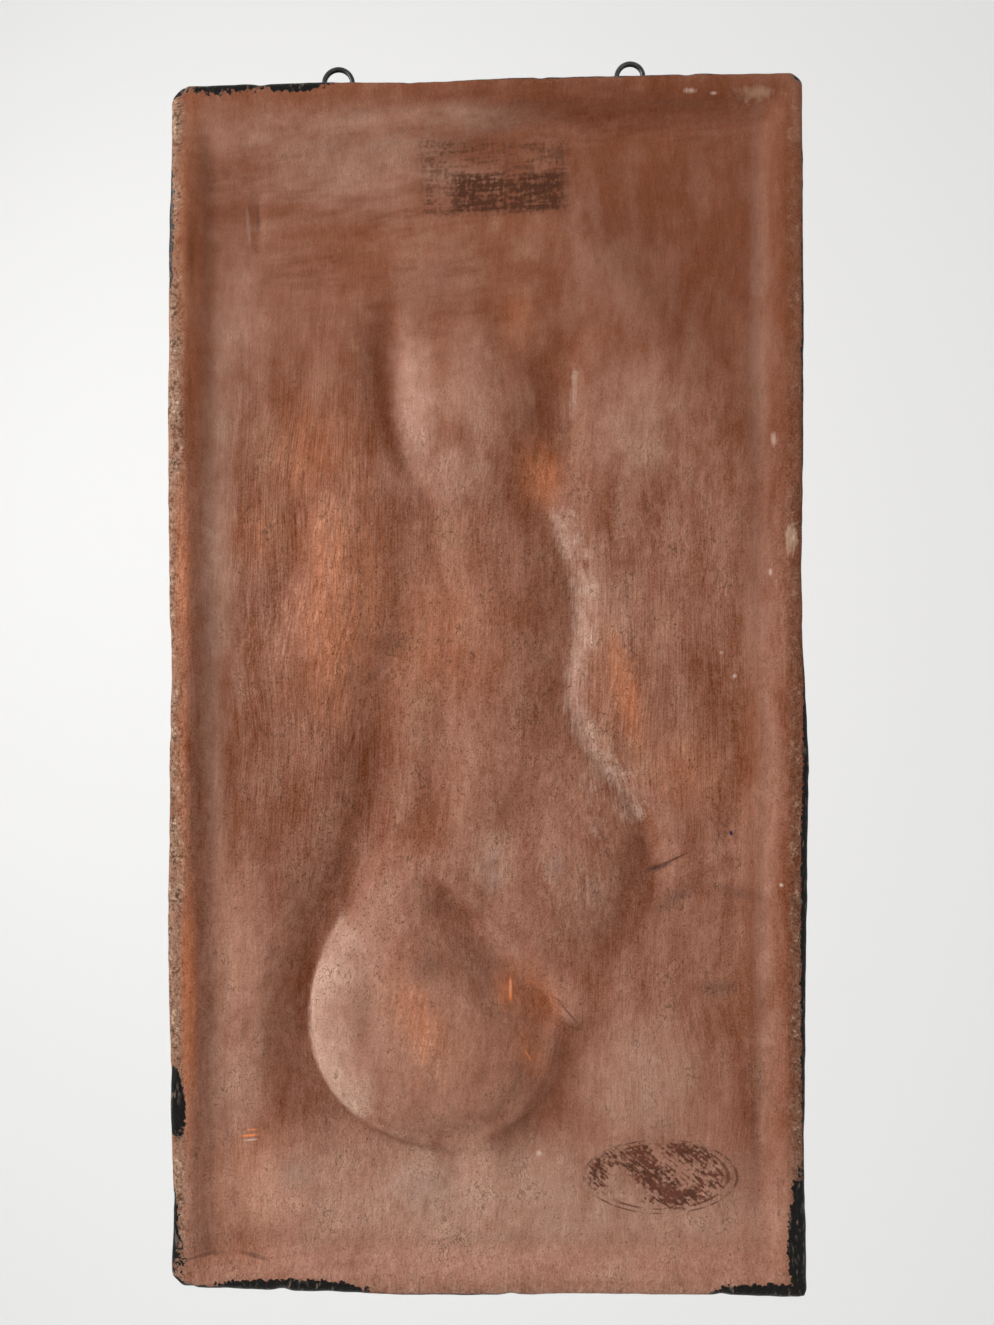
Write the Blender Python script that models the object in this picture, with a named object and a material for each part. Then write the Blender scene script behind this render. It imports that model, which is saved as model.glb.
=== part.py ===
"""A ceramic wall sculpture: a hand-built clay slab with a torso in relief, hung by two wire loops.

Lengths are metres and +Z is up. The front faces -Y, so +X is on the viewer's right. The origin is
midway between the two points where the loops hang on their hooks.
"""
import math

import bmesh
import bpy
import numpy as np

OBJECT_NAME = "ceramic_wall_sculpture"

# Slab
SLAB_WIDTH = 0.262
SLAB_HEIGHT = 0.500
SLAB_DEPTH = 0.045
CORNER_RADIUS = 0.0045
EDGE_ROUND = 0.003
BACK_ROUND = 0.0015

# Rim round the sunk panel
RIM_WIDTH = 0.007
RIM_SLOPE = 0.010
SILL_SLOPE = 0.012
LINTEL_SLOPE = 0.013
SOFT_LINTEL_EXTRA = 0.022
SOFT_LINTEL_START = 0.020
SOFT_LINTEL_RUN = 0.060
PANEL_SINK = 0.006

# Relief, whose deepest groove lies this far under the panel
GROOVE_LIMIT = 0.009
FIGURE_FOOT = 0.008
TORSO_FOOT = 0.004
MASS_BLEND = 0.004
GROUND_BLEND = 0.0016
OUTER_FALL = 0.004

# Hollow back
WALL = 0.013
FRONT_WALL = 0.012
HOLLOW_CORNER = 0.012
HOLLOW_CORNER_STEPS = 3

# Hanging loops
WIRE_THICKNESS = 0.0021
LOOP_SPACING = 0.124
LOOP_SET_BACK = 0.014
LOOP_HEIGHT = 0.0135
LEFT_LOOP_WIDTH = 0.0142
LEFT_LOOP_SPREAD = 0.0144
RIGHT_LOOP_WIDTH = 0.0132
RIGHT_LOOP_SPREAD = 0.0156
SOCKET_DEPTH = 0.010
SOCKET_GAP = 0.0003

# Fineness of the meshes
RELIEF_CELL = 0.0065
ARCH_STEPS = 10
WIRE_ROUND_STEPS = 2
SOCKET_SIDES = 12
CUT_PAST = 0.004

# Figure. Its places and sizes are in steps, 400 to its height, from the middle of the slab
FIGURE_HEIGHT = 0.400
FIGURE_STEPS = 400
STEP = FIGURE_HEIGHT / FIGURE_STEPS

# Core of the torso from the seat up: across, up, half width, height over the panel
TORSO = (
    (8, -84, 56, 3),
    (9, -50, 46, 3),
    (4, -14, 35, 2),
    (4, 34, 33, 1),
    (-4, 74, 28, 1),
    (-4, 112, 33, 1),
    (-4, 146, 34, 1),
)
TORSO_FULLNESS = 1.2

# Rounded masses: across, up, half width, half height, turn in degrees, height over the panel,
# fullness of the left flank and of the right one
MASSES = {
    "left_seat": (-22, -138, 53, 56, 4, 11, 0.55, 0.62),
    "left_hip": (-20, -92, 34, 62, -24, 5, 0.7, 1.2),
    "right_seat": (29, -80, 42, 43, 24, 5, 0.6, 0.6),
    "small_of_back": (0, -44, 30, 40, -8, 3.5, 1.0, 1.2),
    "left_blade": (4, 114, 42, 58, 8, 4.5, 0.6, 1.2),
}

# Soft swellings: across, up, half width, half height, turn in degrees, height
SWELLS = {
    "left_shoulder": (-24, 174, 24, 22, 10, 3),
    "right_shoulder": (30, 178, 34, 18, -8, 2.5),
    "right_arm": (64, 150, 15, 54, 36, 4.5),
    "right_side": (54, 88, 18, 36, -4, 2),
    "blade_crest": (-10, 114, 17, 36, 10, 2.2),
    "left_arm": (-62, 38, 14, 46, 0, 4.5),
    "low_patch": (-86, -212, 18, 18, 0, 2),
    "base_of_spine": (0, -54, 14, 30, 0, 1.5),
    "right_ground": (70, -10, 26, 60, 0, 1.5),
    "thigh": (60, -168, 18, 32, 0, 2),
}

# Grooves in the ground round the figure: points across and up on a line that runs down, half width
# on the left of the line and on the right of it, depth
GROOVES = {
    "left_flank": (((-47, 30), (-46, -10), (-46, -40), (-52, -70), (-60, -100)), 14, 11, 5),
    "left_trough": (
        (
            (-46, -54), (-56, -86), (-66, -108), (-74, -132), (-76, -150), (-71, -168), (-58, -184),
            (-38, -194), (-14, -197), (8, -195),
        ),
        15, 4.5, 8,
    ),
    "blade_trough": (((-40, 166), (-38, 142), (-35, 122), (-29, 104), (-18, 86), (-2, 68)), 10, 5, 6),
    "right_flank": (
        (
            (18, 92), (26, 68), (33, 47), (35, 31), (31, 9), (31, -12), (39, -30), (50, -42), (60, -54),
            (66, -66), (69, -82), (66, -100),
        ),
        10, 7, 6,
    ),
    "right_of_seat": (((33, -136), (33, -150), (30, -162), (24, -174), (15, -185), (2, -193)), 5, 13, 4),
    "arm_wedge": (((-74, 84), (-79, 60), (-84, 40), (-87, 14)), 9, 6, 1.6),
}

# Valleys across the figure itself, in the same way
VALLEYS = {
    "cleft": (((-30, -76), (-12, -94), (1, -110), (15, -125), (27, -138), (32, -152)), 14, 5.5, 7),
    "blade_valley": (((38, 160), (34, 130), (31, 102), (24, 76)), 13, 8, 2.4),
    "arm_valley": (((-30, 90), (-31, 40), (-40, -8)), 15, 16, 2.5),
}
TAPER_SHARE = 0.25
CURVE_STEPS = 3

# Where the edges, cut and patted by hand, bow out or in: place along the edge, half length, outwards
EDGE_BOWS = {
    "left": ((232, 34, -1.4), (84, 44, 0.5), (10, 26, -0.8), (-100, 36, 0.7), (-212, 28, -1.2)),
    "right": ((170, 50, 0.3), (50, 46, -0.9), (-30, 30, 1.6), (-85, 30, 0.7), (-195, 40, -1.0)),
    "top": ((-118, 24, -0.5), (-25, 40, -0.6), (18, 20, 0.4), (88, 44, 0.6)),
    "bottom": ((-118, 24, -0.5), (-25, 42, 1.0), (80, 55, -0.6)),
}

CLAY_COLOUR = (0.287, 0.125, 0.078, 1.0)
CLAY_ROUGHNESS = 0.72
WIRE_COLOUR = (0.012, 0.011, 0.011, 1.0)
WIRE_ROUGHNESS = 0.38

# Places that follow from the sizes above
LOOP_TOP_INSIDE = LOOP_HEIGHT - WIRE_THICKNESS
SLAB_TOP = -LOOP_TOP_INSIDE
SLAB_MIDDLE = SLAB_TOP - SLAB_HEIGHT / 2
WALL_PLANE = SLAB_DEPTH - LOOP_SET_BACK
HOLLOW_DEPTH = SLAB_DEPTH - PANEL_SINK - GROOVE_LIMIT - FRONT_WALL


def smooth_step(share):
    """An even start and stop between 0 and 1."""
    share = np.clip(share, 0, 1)
    return share * share * (3 - 2 * share)


def smooth_max(first, second, blend):
    """The higher of two surfaces, with the crease between them rounded."""
    near = np.maximum(blend - np.abs(first - second), 0) / blend
    return np.maximum(first, second) + blend * near * near / 4


def turned_share(x, z, across, up, half_width, half_height, turn):
    """Place in a turned ellipse, in shares of its half width and half height."""
    cos, sin = math.cos(math.radians(turn)), math.sin(math.radians(turn))
    dx, dz = x - across * STEP, z - up * STEP
    return (cos * dx + sin * dz) / (half_width * STEP), (cos * dz - sin * dx) / (half_height * STEP)


def mass_surface(x, z, across, up, half_width, half_height, turn, height, left, right):
    """A rounded mass that rises from the foot of the figure."""
    u, v = turned_share(x, z, across, up, half_width, half_height, turn)
    out = u * u + v * v
    fullness = left + (right - left) * smooth_step((u + 1) / 2)
    rise = np.power(np.maximum(1 - out, 0), fullness)
    return -FIGURE_FOOT + (height * STEP + FIGURE_FOOT) * rise - OUTER_FALL * np.maximum(out - 1, 0)


def torso_surface(x, z):
    """The core of the torso, one rounded length between each two of its stations."""
    best = np.full(x.shape, -SLAB_DEPTH)
    for (ax, az, a_width, a_height), (bx, bz, b_width, b_height) in zip(TORSO, TORSO[1:]):
        run_x, run_z = (bx - ax) * STEP, (bz - az) * STEP
        along = ((x - ax * STEP) * run_x + (z - az * STEP) * run_z) / (run_x ** 2 + run_z ** 2)
        along = np.clip(along, 0, 1)
        off = np.hypot(x - ax * STEP - along * run_x, z - az * STEP - along * run_z)
        out = np.square(off / ((a_width + (b_width - a_width) * along) * STEP))
        height = (a_height + (b_height - a_height) * along) * STEP
        rise = np.power(np.maximum(1 - out, 0), TORSO_FULLNESS)
        core = -TORSO_FOOT + (height + TORSO_FOOT) * rise - OUTER_FALL * np.maximum(out - 1, 0)
        best = np.maximum(best, core)
    return best


def curved(points):
    """A smooth line through points, with a few short lengths between each two."""
    places = [np.array(point) for point in (points[0], *points, points[-1])]
    line = []
    for before, start, end, after in zip(places, places[1:], places[2:], places[3:]):
        for step in range(CURVE_STEPS):
            t = step / CURVE_STEPS
            straight = (end - before) / 2
            turn = before - 2.5 * start + 2 * end - after / 2
            ease = (after - before) / 2 + 1.5 * (start - end)
            line.append(start + straight * t + turn * t ** 2 + ease * t ** 3)
    return line + [places[-1]]


def along_line(x, z, points):
    """Distance to a line that runs down, the place along it from 0 to 1, and which side of it is near."""
    total = sum(math.dist(a, b) for a, b in zip(points, points[1:]))
    best = np.full(x.shape, SLAB_HEIGHT * FIGURE_STEPS)
    share = np.zeros(x.shape)
    side = np.zeros(x.shape)
    done = 0
    for (ax, az), (bx, bz) in zip(points, points[1:]):
        length = math.dist((ax, az), (bx, bz))
        run_x, run_z = (bx - ax) * STEP, (bz - az) * STEP
        from_x, from_z = x - ax * STEP, z - az * STEP
        along = np.clip((from_x * run_x + from_z * run_z) / (run_x ** 2 + run_z ** 2), 0, 1)
        off = np.hypot(from_x - along * run_x, from_z - along * run_z)
        nearer = off < best
        share = np.where(nearer, (done + along * length) / total, share)
        side = np.where(nearer, run_x * from_z - run_z * from_x, side)
        best = np.minimum(best, off)
        done += length
    return best, share, side


def groove_surface(x, z, grooves):
    """Grooves with a slope of their own on each side, faded out towards both ends."""
    depth_here = np.zeros(x.shape)
    for points, left, right, depth in grooves.values():
        off, share, side = along_line(x, z, curved(points))
        taper = smooth_step(share / TAPER_SHARE) * smooth_step((1 - share) / TAPER_SHARE)
        half_width = np.where(side < 0, left, right) * STEP
        depth_here += depth * STEP * taper * np.exp(-np.square(off / half_width))
    return -np.minimum(depth_here, GROOVE_LIMIT)


def swell_surface(x, z):
    """All soft swellings together."""
    height_here = np.zeros(x.shape)
    for across, up, half_width, half_height, turn, height in SWELLS.values():
        u, v = turned_share(x, z, across, up, half_width, half_height, turn)
        height_here += height * STEP * np.exp(-(u * u + v * v))
    return height_here


def relief_height(x, z):
    """Height of the figure and its ground over the panel."""
    figure = torso_surface(x, z)
    for mass in MASSES.values():
        figure = smooth_max(figure, mass_surface(x, z, *mass), MASS_BLEND)
    body = smooth_max(groove_surface(x, z, GROOVES), figure, GROUND_BLEND)
    relief = body + swell_surface(x, z) + groove_surface(x, z, VALLEYS)
    return np.maximum(relief, -GROOVE_LIMIT)


def front_depth(x, z):
    """How far the front stands out from the wall, from the rim's edge to the figure."""
    from_side = SLAB_WIDTH / 2 - np.abs(x)
    from_top = SLAB_HEIGHT / 2 - z
    from_bottom = SLAB_HEIGHT / 2 + z
    from_edge = np.minimum(from_side, np.minimum(from_top, from_bottom))
    soft = smooth_step((SOFT_LINTEL_START - x) / SOFT_LINTEL_RUN)
    lintel = LINTEL_SLOPE + SOFT_LINTEL_EXTRA * soft
    inside = (
        smooth_step((from_side - RIM_WIDTH) / RIM_SLOPE)
        * smooth_step((from_top - RIM_WIDTH) / lintel)
        * smooth_step((from_bottom - RIM_WIDTH) / SILL_SLOPE)
    )
    on_round = np.clip(1 - from_edge / EDGE_ROUND, 0, 1)
    rounding = EDGE_ROUND * (1 - np.sqrt(1 - np.square(on_round)))
    return SLAB_DEPTH - rounding + inside * (relief_height(x, z) - PANEL_SINK)


def grid_lines(length):
    """Places of the relief's grid lines across one side: close together on the rim, even inside."""
    rim = [0, EDGE_ROUND / 3, EDGE_ROUND, RIM_WIDTH, RIM_WIDTH + RIM_SLOPE / 2, RIM_WIDTH + RIM_SLOPE]
    inner = length - 2 * rim[-1]
    cells = max(round(inner / RELIEF_CELL), 1)
    middle = [rim[-1] + inner * n / cells for n in range(1, cells)]
    lines = rim + middle + [length - place for place in reversed(rim)]
    return np.array(lines) - length / 2


def round_corner(x, z):
    """Draws the square corners of the grid in to round ones."""
    past_x = np.maximum(np.abs(x) - (SLAB_WIDTH / 2 - CORNER_RADIUS), 0)
    past_z = np.maximum(np.abs(z) - (SLAB_HEIGHT / 2 - CORNER_RADIUS), 0)
    pull_x = past_x * (1 - np.sqrt(1 - np.square(past_z / CORNER_RADIUS) / 2))
    pull_z = past_z * (1 - np.sqrt(1 - np.square(past_x / CORNER_RADIUS) / 2))
    return x - np.sign(x) * pull_x, z - np.sign(z) * pull_z


def bow(along, bows):
    """How far one edge bows outwards."""
    out = np.zeros(along.shape)
    for place, half_length, outwards in bows:
        out += outwards * STEP * np.exp(-np.square((along - place * STEP) / (half_length * STEP)))
    return out


def bow_edges(x, z):
    """Draws the straight sides of the grid out and in to the hand-cut ones."""
    side = np.where(x < 0, bow(z, EDGE_BOWS["left"]), bow(z, EDGE_BOWS["right"]))
    end = np.where(z < 0, bow(x, EDGE_BOWS["bottom"]), bow(x, EDGE_BOWS["top"]))
    return x * (1 + side / (SLAB_WIDTH / 2)), z * (1 + end / (SLAB_HEIGHT / 2))


def new_object(name, data, collection, material=None, place=(0, 0, 0)):
    """Links one object to its collection, with its material."""
    part = bpy.data.objects.new(name, data)
    part.location = place
    collection.objects.link(part)
    if material:
        data.materials.append(material)
    return part


def new_material(name, colour, roughness, metallic=0.0):
    """A plain surface for one kind of piece."""
    material = bpy.data.materials.new(name)
    material.use_nodes = True
    shader = material.node_tree.nodes["Principled BSDF"]
    shader.inputs["Base Color"].default_value = colour
    shader.inputs["Roughness"].default_value = roughness
    shader.inputs["Metallic"].default_value = metallic
    material.diffuse_color = colour
    return material


def relief_mesh():
    """The clay as one closed body: the relief in front, straight sides and a flat back."""
    columns, rows = grid_lines(SLAB_WIDTH), grid_lines(SLAB_HEIGHT)
    bm = bmesh.new()
    bmesh.ops.create_grid(bm, x_segments=len(columns) - 1, y_segments=len(rows) - 1, size=1)
    flat = np.array([vert.co for vert in bm.verts])
    x = columns[np.rint((flat[:, 0] + 1) / 2 * (len(columns) - 1)).astype(int)]
    z = rows[np.rint((flat[:, 1] + 1) / 2 * (len(rows) - 1)).astype(int)]
    depth = front_depth(x, z)
    x, z = bow_edges(*round_corner(x, z))
    for vert, place in zip(bm.verts, np.column_stack((x, -depth, z))):
        vert.co = place
    bmesh.ops.triangulate(bm, faces=bm.faces, quad_method="SHORT_EDGE")

    edge = [e for e in bm.edges if e.is_boundary]
    for to_wall, shrink in ((BACK_ROUND, 0), (0, BACK_ROUND)):
        grown = bmesh.ops.extrude_edge_only(bm, edges=edge)["geom"]
        edge = [item for item in grown if isinstance(item, bmesh.types.BMEdge)]
        for vert in (item for item in grown if isinstance(item, bmesh.types.BMVert)):
            vert.co.x *= 1 - shrink / (SLAB_WIDTH / 2)
            vert.co.z *= 1 - shrink / (SLAB_HEIGHT / 2)
            vert.co.y = -to_wall
    bmesh.ops.contextual_create(bm, geom=edge)
    bmesh.ops.recalc_face_normals(bm, faces=bm.faces)
    mesh = bpy.data.meshes.new("relief_slab")
    bm.to_mesh(mesh)
    bm.free()
    return mesh


def cut(target, cutter):
    """Takes a cutter out of a part."""
    cutter.hide_render = True
    cutter.display_type = "WIRE"
    modifier = target.modifiers.new(cutter.name, "BOOLEAN")
    modifier.operation = "DIFFERENCE"
    modifier.solver = "EXACT"
    modifier.object = cutter


def hollow_cutter(cutters):
    """The hollow that lightens the back and lets the clay dry evenly."""
    bm = bmesh.new()
    bmesh.ops.create_cube(bm, size=1)
    size = (SLAB_WIDTH - 2 * WALL, HOLLOW_DEPTH + CUT_PAST, SLAB_HEIGHT - 2 * WALL)
    bmesh.ops.scale(bm, vec=size, verts=bm.verts)
    upright = [e for e in bm.edges if abs(e.verts[0].co.y - e.verts[1].co.y) > HOLLOW_DEPTH / 2]
    bmesh.ops.bevel(
        bm, geom=upright, offset=HOLLOW_CORNER, segments=HOLLOW_CORNER_STEPS, profile=0.5, affect="EDGES",
    )
    mesh = bpy.data.meshes.new("hollow_cutter")
    bm.to_mesh(mesh)
    bm.free()
    middle = WALL_PLANE + (CUT_PAST - HOLLOW_DEPTH) / 2
    return new_object("hollow_cutter", mesh, cutters, place=(0, middle, SLAB_MIDDLE))


def socket_cutter(name, across, cutters):
    """The hole that one leg of a loop is set in."""
    bm = bmesh.new()
    radius = WIRE_THICKNESS / 2 + SOCKET_GAP
    bmesh.ops.create_cone(
        bm, cap_ends=True, segments=SOCKET_SIDES, radius1=radius, radius2=radius,
        depth=SOCKET_DEPTH + CUT_PAST,
    )
    mesh = bpy.data.meshes.new(name)
    bm.to_mesh(mesh)
    bm.free()
    middle = SLAB_TOP + (CUT_PAST - SOCKET_DEPTH) / 2
    return new_object(name, mesh, cutters, place=(across, 0, middle))


def loop_path(width, spread):
    """Middle line of one loop: a leg in the clay, up, round the arch and down again."""
    arch = (width - WIRE_THICKNESS) / 2
    leg = (spread - WIRE_THICKNESS) / 2
    arch_base = WIRE_THICKNESS / 2 - arch
    foot = SLAB_TOP - SOCKET_DEPTH + SOCKET_GAP
    left = [(-leg, foot), (-leg, SLAB_TOP)]
    over = [
        (-arch * math.cos(math.pi * n / ARCH_STEPS), arch_base + arch * math.sin(math.pi * n / ARCH_STEPS))
        for n in range(ARCH_STEPS + 1)
    ]
    right = [(-x, z) for x, z in reversed(left)]
    return left + over + right


def make_loop(name, side, width, spread, slab, parts, cutters, material):
    """One wire loop with the two sockets that hold it."""
    path = loop_path(width, spread)
    curve = bpy.data.curves.new(name, "CURVE")
    curve.dimensions = "3D"
    curve.bevel_depth = WIRE_THICKNESS / 2
    curve.bevel_resolution = WIRE_ROUND_STEPS
    curve.use_fill_caps = True
    spline = curve.splines.new("POLY")
    spline.points.add(len(path) - 1)
    for point, (x, z) in zip(spline.points, path):
        point.co = (x, 0, z, 1)
    middle = side * LOOP_SPACING / 2
    new_object(name, curve, parts, material, place=(middle, 0, 0))
    for leg, (x, _) in (("left", path[0]), ("right", path[-1])):
        cut(slab, socket_cutter(f"{name}_{leg}_socket_cutter", middle + x, cutters))


def clear_scene():
    """Starts from an empty scene."""
    for old in list(bpy.data.objects):
        bpy.data.objects.remove(old, do_unlink=True)


def build():
    """Makes the whole sculpture."""
    clear_scene()
    parts = bpy.data.collections.new(OBJECT_NAME)
    cutters = bpy.data.collections.new("cutters")
    bpy.context.scene.collection.children.link(parts)
    bpy.context.scene.collection.children.link(cutters)
    clay = new_material("fired_clay", CLAY_COLOUR, CLAY_ROUGHNESS)
    wire = new_material("black_wire", WIRE_COLOUR, WIRE_ROUGHNESS)
    slab = new_object("relief_slab", relief_mesh(), parts, clay, place=(0, WALL_PLANE, SLAB_MIDDLE))
    cut(slab, hollow_cutter(cutters))
    make_loop("hanging_loop_left", -1, LEFT_LOOP_WIDTH, LEFT_LOOP_SPREAD, slab, parts, cutters, wire)
    make_loop("hanging_loop_right", 1, RIGHT_LOOP_WIDTH, RIGHT_LOOP_SPREAD, slab, parts, cutters, wire)


build()
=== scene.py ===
"""Looks of a ceramic wall sculpture: a hand-built clay slab with a torso in relief, on two wire loops.

Lengths are metres, +Z is up and the front faces -Y. The origin is midway between the two points where
the loops hang on their hooks.
"""
import math
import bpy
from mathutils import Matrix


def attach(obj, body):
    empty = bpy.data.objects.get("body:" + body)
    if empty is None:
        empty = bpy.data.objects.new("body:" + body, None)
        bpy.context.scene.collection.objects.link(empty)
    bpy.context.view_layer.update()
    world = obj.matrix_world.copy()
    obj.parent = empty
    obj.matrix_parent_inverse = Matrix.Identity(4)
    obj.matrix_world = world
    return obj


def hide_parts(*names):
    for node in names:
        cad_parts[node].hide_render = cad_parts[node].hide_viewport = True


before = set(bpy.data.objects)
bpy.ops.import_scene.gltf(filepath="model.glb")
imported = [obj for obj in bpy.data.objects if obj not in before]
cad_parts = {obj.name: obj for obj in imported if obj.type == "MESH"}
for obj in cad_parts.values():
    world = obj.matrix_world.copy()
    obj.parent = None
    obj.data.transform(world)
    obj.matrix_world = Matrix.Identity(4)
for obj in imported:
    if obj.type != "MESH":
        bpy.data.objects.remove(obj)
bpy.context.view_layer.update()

from types import SimpleNamespace

import bpy
import numpy as np
from mathutils import Matrix, Vector

# Slab, as in the part's source
SLAB_WIDTH = 0.262
SLAB_HEIGHT = 0.500
SLAB_DEPTH = 0.045
CORNER_RADIUS = 0.0045
EDGE_ROUND = 0.003
BACK_ROUND = 0.0015

# Rim round the sunk panel
RIM_WIDTH = 0.007
RIM_SLOPE = 0.010
SILL_SLOPE = 0.012
LINTEL_SLOPE = 0.013
SOFT_LINTEL_EXTRA = 0.022
SOFT_LINTEL_START = 0.020
SOFT_LINTEL_RUN = 0.060
PANEL_SINK = 0.006

# Relief, whose deepest groove lies this far under the panel
GROOVE_LIMIT = 0.009
FIGURE_FOOT = 0.008
TORSO_FOOT = 0.004
MASS_BLEND = 0.004
GROUND_BLEND = 0.0016
OUTER_FALL = 0.004

# Hollow back
WALL = 0.013
FRONT_WALL = 0.012
HOLLOW_CORNER = 0.012
CUT_PAST = 0.004

# Scooped floor of the hollow: how far each step goes in and deeper
FLOOR_STEPS = ((0.002, 0.0012), (0.004, 0.0005))

# Hanging loops
WIRE_THICKNESS = 0.0021
LOOP_SPACING = 0.124
LOOP_SET_BACK = 0.014
LOOP_HEIGHT = 0.0135
LEFT_LOOP_WIDTH = 0.0142
LEFT_LOOP_SPREAD = 0.0144
RIGHT_LOOP_WIDTH = 0.0132
RIGHT_LOOP_SPREAD = 0.0156
SOCKET_DEPTH = 0.010
SOCKET_GAP = 0.0003

# Figure. Its places and sizes are in steps, 400 to its height, from the middle of the slab
STEP = 0.001

# Stations of the torso's core: across, up, half width, height
TORSO = (
    (8, -84, 56, 3), (9, -50, 46, 3), (4, -14, 35, 2), (4, 34, 33, 1), (-4, 74, 28, 1),
    (-4, 112, 33, 1), (-4, 146, 34, 1),
)
TORSO_FULLNESS = 1.2

# Rounded masses: across, up, half width, half height, turn in degrees, height, fullness left and right
MASSES = {
    "left_seat": (-22, -138, 53, 56, 4, 11, 0.55, 0.62),
    "left_hip": (-20, -92, 34, 62, -24, 5, 0.7, 1.2),
    "right_seat": (29, -80, 42, 43, 24, 5, 0.6, 0.6),
    "small_of_back": (0, -44, 30, 40, -8, 3.5, 1.0, 1.2),
    "left_blade": (4, 114, 42, 58, 8, 4.5, 0.6, 1.2),
}

# Soft swellings: across, up, half width, half height, turn in degrees, height
SWELLS = {
    "left_shoulder": (-24, 174, 24, 22, 10, 3),
    "right_shoulder": (30, 178, 34, 18, -8, 2.5),
    "right_arm": (64, 150, 15, 54, 36, 4.5),
    "right_side": (54, 88, 18, 36, -4, 2),
    "blade_crest": (-10, 114, 17, 36, 10, 2.2),
    "left_arm": (-62, 38, 14, 46, 0, 4.5),
    "low_patch": (-86, -212, 18, 18, 0, 2),
    "base_of_spine": (0, -54, 14, 30, 0, 1.5),
    "right_ground": (70, -10, 26, 60, 0, 1.5),
    "thigh": (60, -168, 18, 32, 0, 2),
}

# Grooves and valleys: points that run down, half width on the left and right, depth
GROOVES = {
    "left_flank": (((-47, 30), (-46, -10), (-46, -40), (-52, -70), (-60, -100)), 14, 11, 5),
    "left_trough": (
        (
            (-46, -54), (-56, -86), (-66, -108), (-74, -132), (-76, -150), (-71, -168), (-58, -184),
            (-38, -194), (-14, -197), (8, -195),
        ),
        15, 4.5, 8,
    ),
    "blade_trough": (((-40, 166), (-38, 142), (-35, 122), (-29, 104), (-18, 86), (-2, 68)), 10, 5, 6),
    "right_flank": (
        (
            (18, 92), (26, 68), (33, 47), (35, 31), (31, 9), (31, -12), (39, -30), (50, -42), (60, -54),
            (66, -66), (69, -82), (66, -100),
        ),
        10, 7, 6,
    ),
    "right_of_seat": (((33, -136), (33, -150), (30, -162), (24, -174), (15, -185), (2, -193)), 5, 13, 4),
    "arm_wedge": (((-74, 84), (-79, 60), (-84, 40), (-87, 14)), 9, 6, 1.6),
}
VALLEYS = {
    "cleft": (((-30, -76), (-12, -94), (1, -110), (15, -125), (27, -138), (32, -152)), 14, 5.5, 7),
    "blade_valley": (((38, 160), (34, 130), (31, 102), (24, 76)), 13, 8, 2.4),
    "arm_valley": (((-30, 90), (-31, 40), (-40, -8)), 15, 16, 2.5),
}

# Shares of a groove and of a streak over which they fade out, and lengths between two points
TAPER_SHARE = 0.25
STREAK_TAPER = 0.12
CURVE_STEPS = 3

# Where the edges, cut and patted by hand, bow out or in: place along the edge, half length, outwards
EDGE_BOWS = {
    "left": ((232, 34, -1.4), (84, 44, 0.5), (10, 26, -0.8), (-100, 36, 0.7), (-212, 28, -1.2)),
    "right": ((170, 50, 0.3), (50, 46, -0.9), (-30, 30, 1.6), (-85, 30, 0.7), (-195, 40, -1.0)),
    "top": ((-118, 24, -0.5), (-25, 40, -0.6), (18, 20, 0.4), (88, 44, 0.6)),
    "bottom": ((-118, 24, -0.5), (-25, 42, 1.0), (80, 55, -0.6)),
}

# Small marks left in the clay: points across and up, half width on the left and right, depth, which is
# less than 0 where the mark stands proud
MARKS = {
    "tool_dent": (((-95, 210), (-95, 178)), 3.0, 2.2, 1.0),
    "slip_fold": (((16, -121), (25, -130), (31, -138), (40, -142)), 2.2, 1.4, -0.9),
    "fold_shadow": (((14, -124), (23, -133), (29, -141), (38, -145.5)), 1.4, 1.4, 0.9),
    "valley_crack": (((37.5, 128), (36, 108), (34.5, 89)), 1.1, 1.1, 0.6),
    "side_crack": (((84, -70), (78, -73), (69, -76)), 1.0, 1.0, 0.6),
    "blade_scratch": (((26, 134), (31, 124), (33, 108)), 1.3, 1.3, 0.4),
    "ledge": (((-10, 238), (-60, 235), (-116, 236)), 1.8, 1.8, 0.35),
}

# Unevenness of clay patted by hand: size and height of its lumps
BROAD_LUMPS = (0.028, 0.0009)
SMALL_LUMPS = (0.007, 0.0003)

# Edges worn and chipped: across, up, reach, depth. A chip is flatter from front to back, goes in less
# from the front than from the side, and from the side only in a band along the edges
CHIP_BAND = 0.012
CHIP_FLATNESS = 1.2
CHIP_PUSH = 2
CHIP_FROM_FRONT = 0.7
CHIPS = (
    (-128.5, 248, 7, 1.9), (-126, 250, 4.5, 1.2), (130, 249, 5, 1.3), (-129.5, -248.5, 7, 2.0),
    (-123, -250, 5, 1.2), (-130.5, 171, 4, 0.7), (-130.5, 118, 5, 0.6), (-130.5, 73, 3.5, 0.8),
    (-130.5, -20, 5, 0.5), (-130.5, -92, 4, 0.6), (-130.5, -160, 6, 0.7), (-130.5, -212, 5, 0.7),
    (130.5, 136, 4, 0.7), (130.5, 64, 5, 0.5), (130.5, -40, 5, 0.6), (130.5, -214, 5, 0.7),
    (-92, 250, 5, 0.6), (-30, 250, 5, 0.5), (24, 250.5, 4, 0.5), (84, 250.5, 5, 0.5),
    (-84, -250, 6, 0.7), (10, -250, 6, 0.5), (96, -250.5, 5, 0.8),
)

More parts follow.
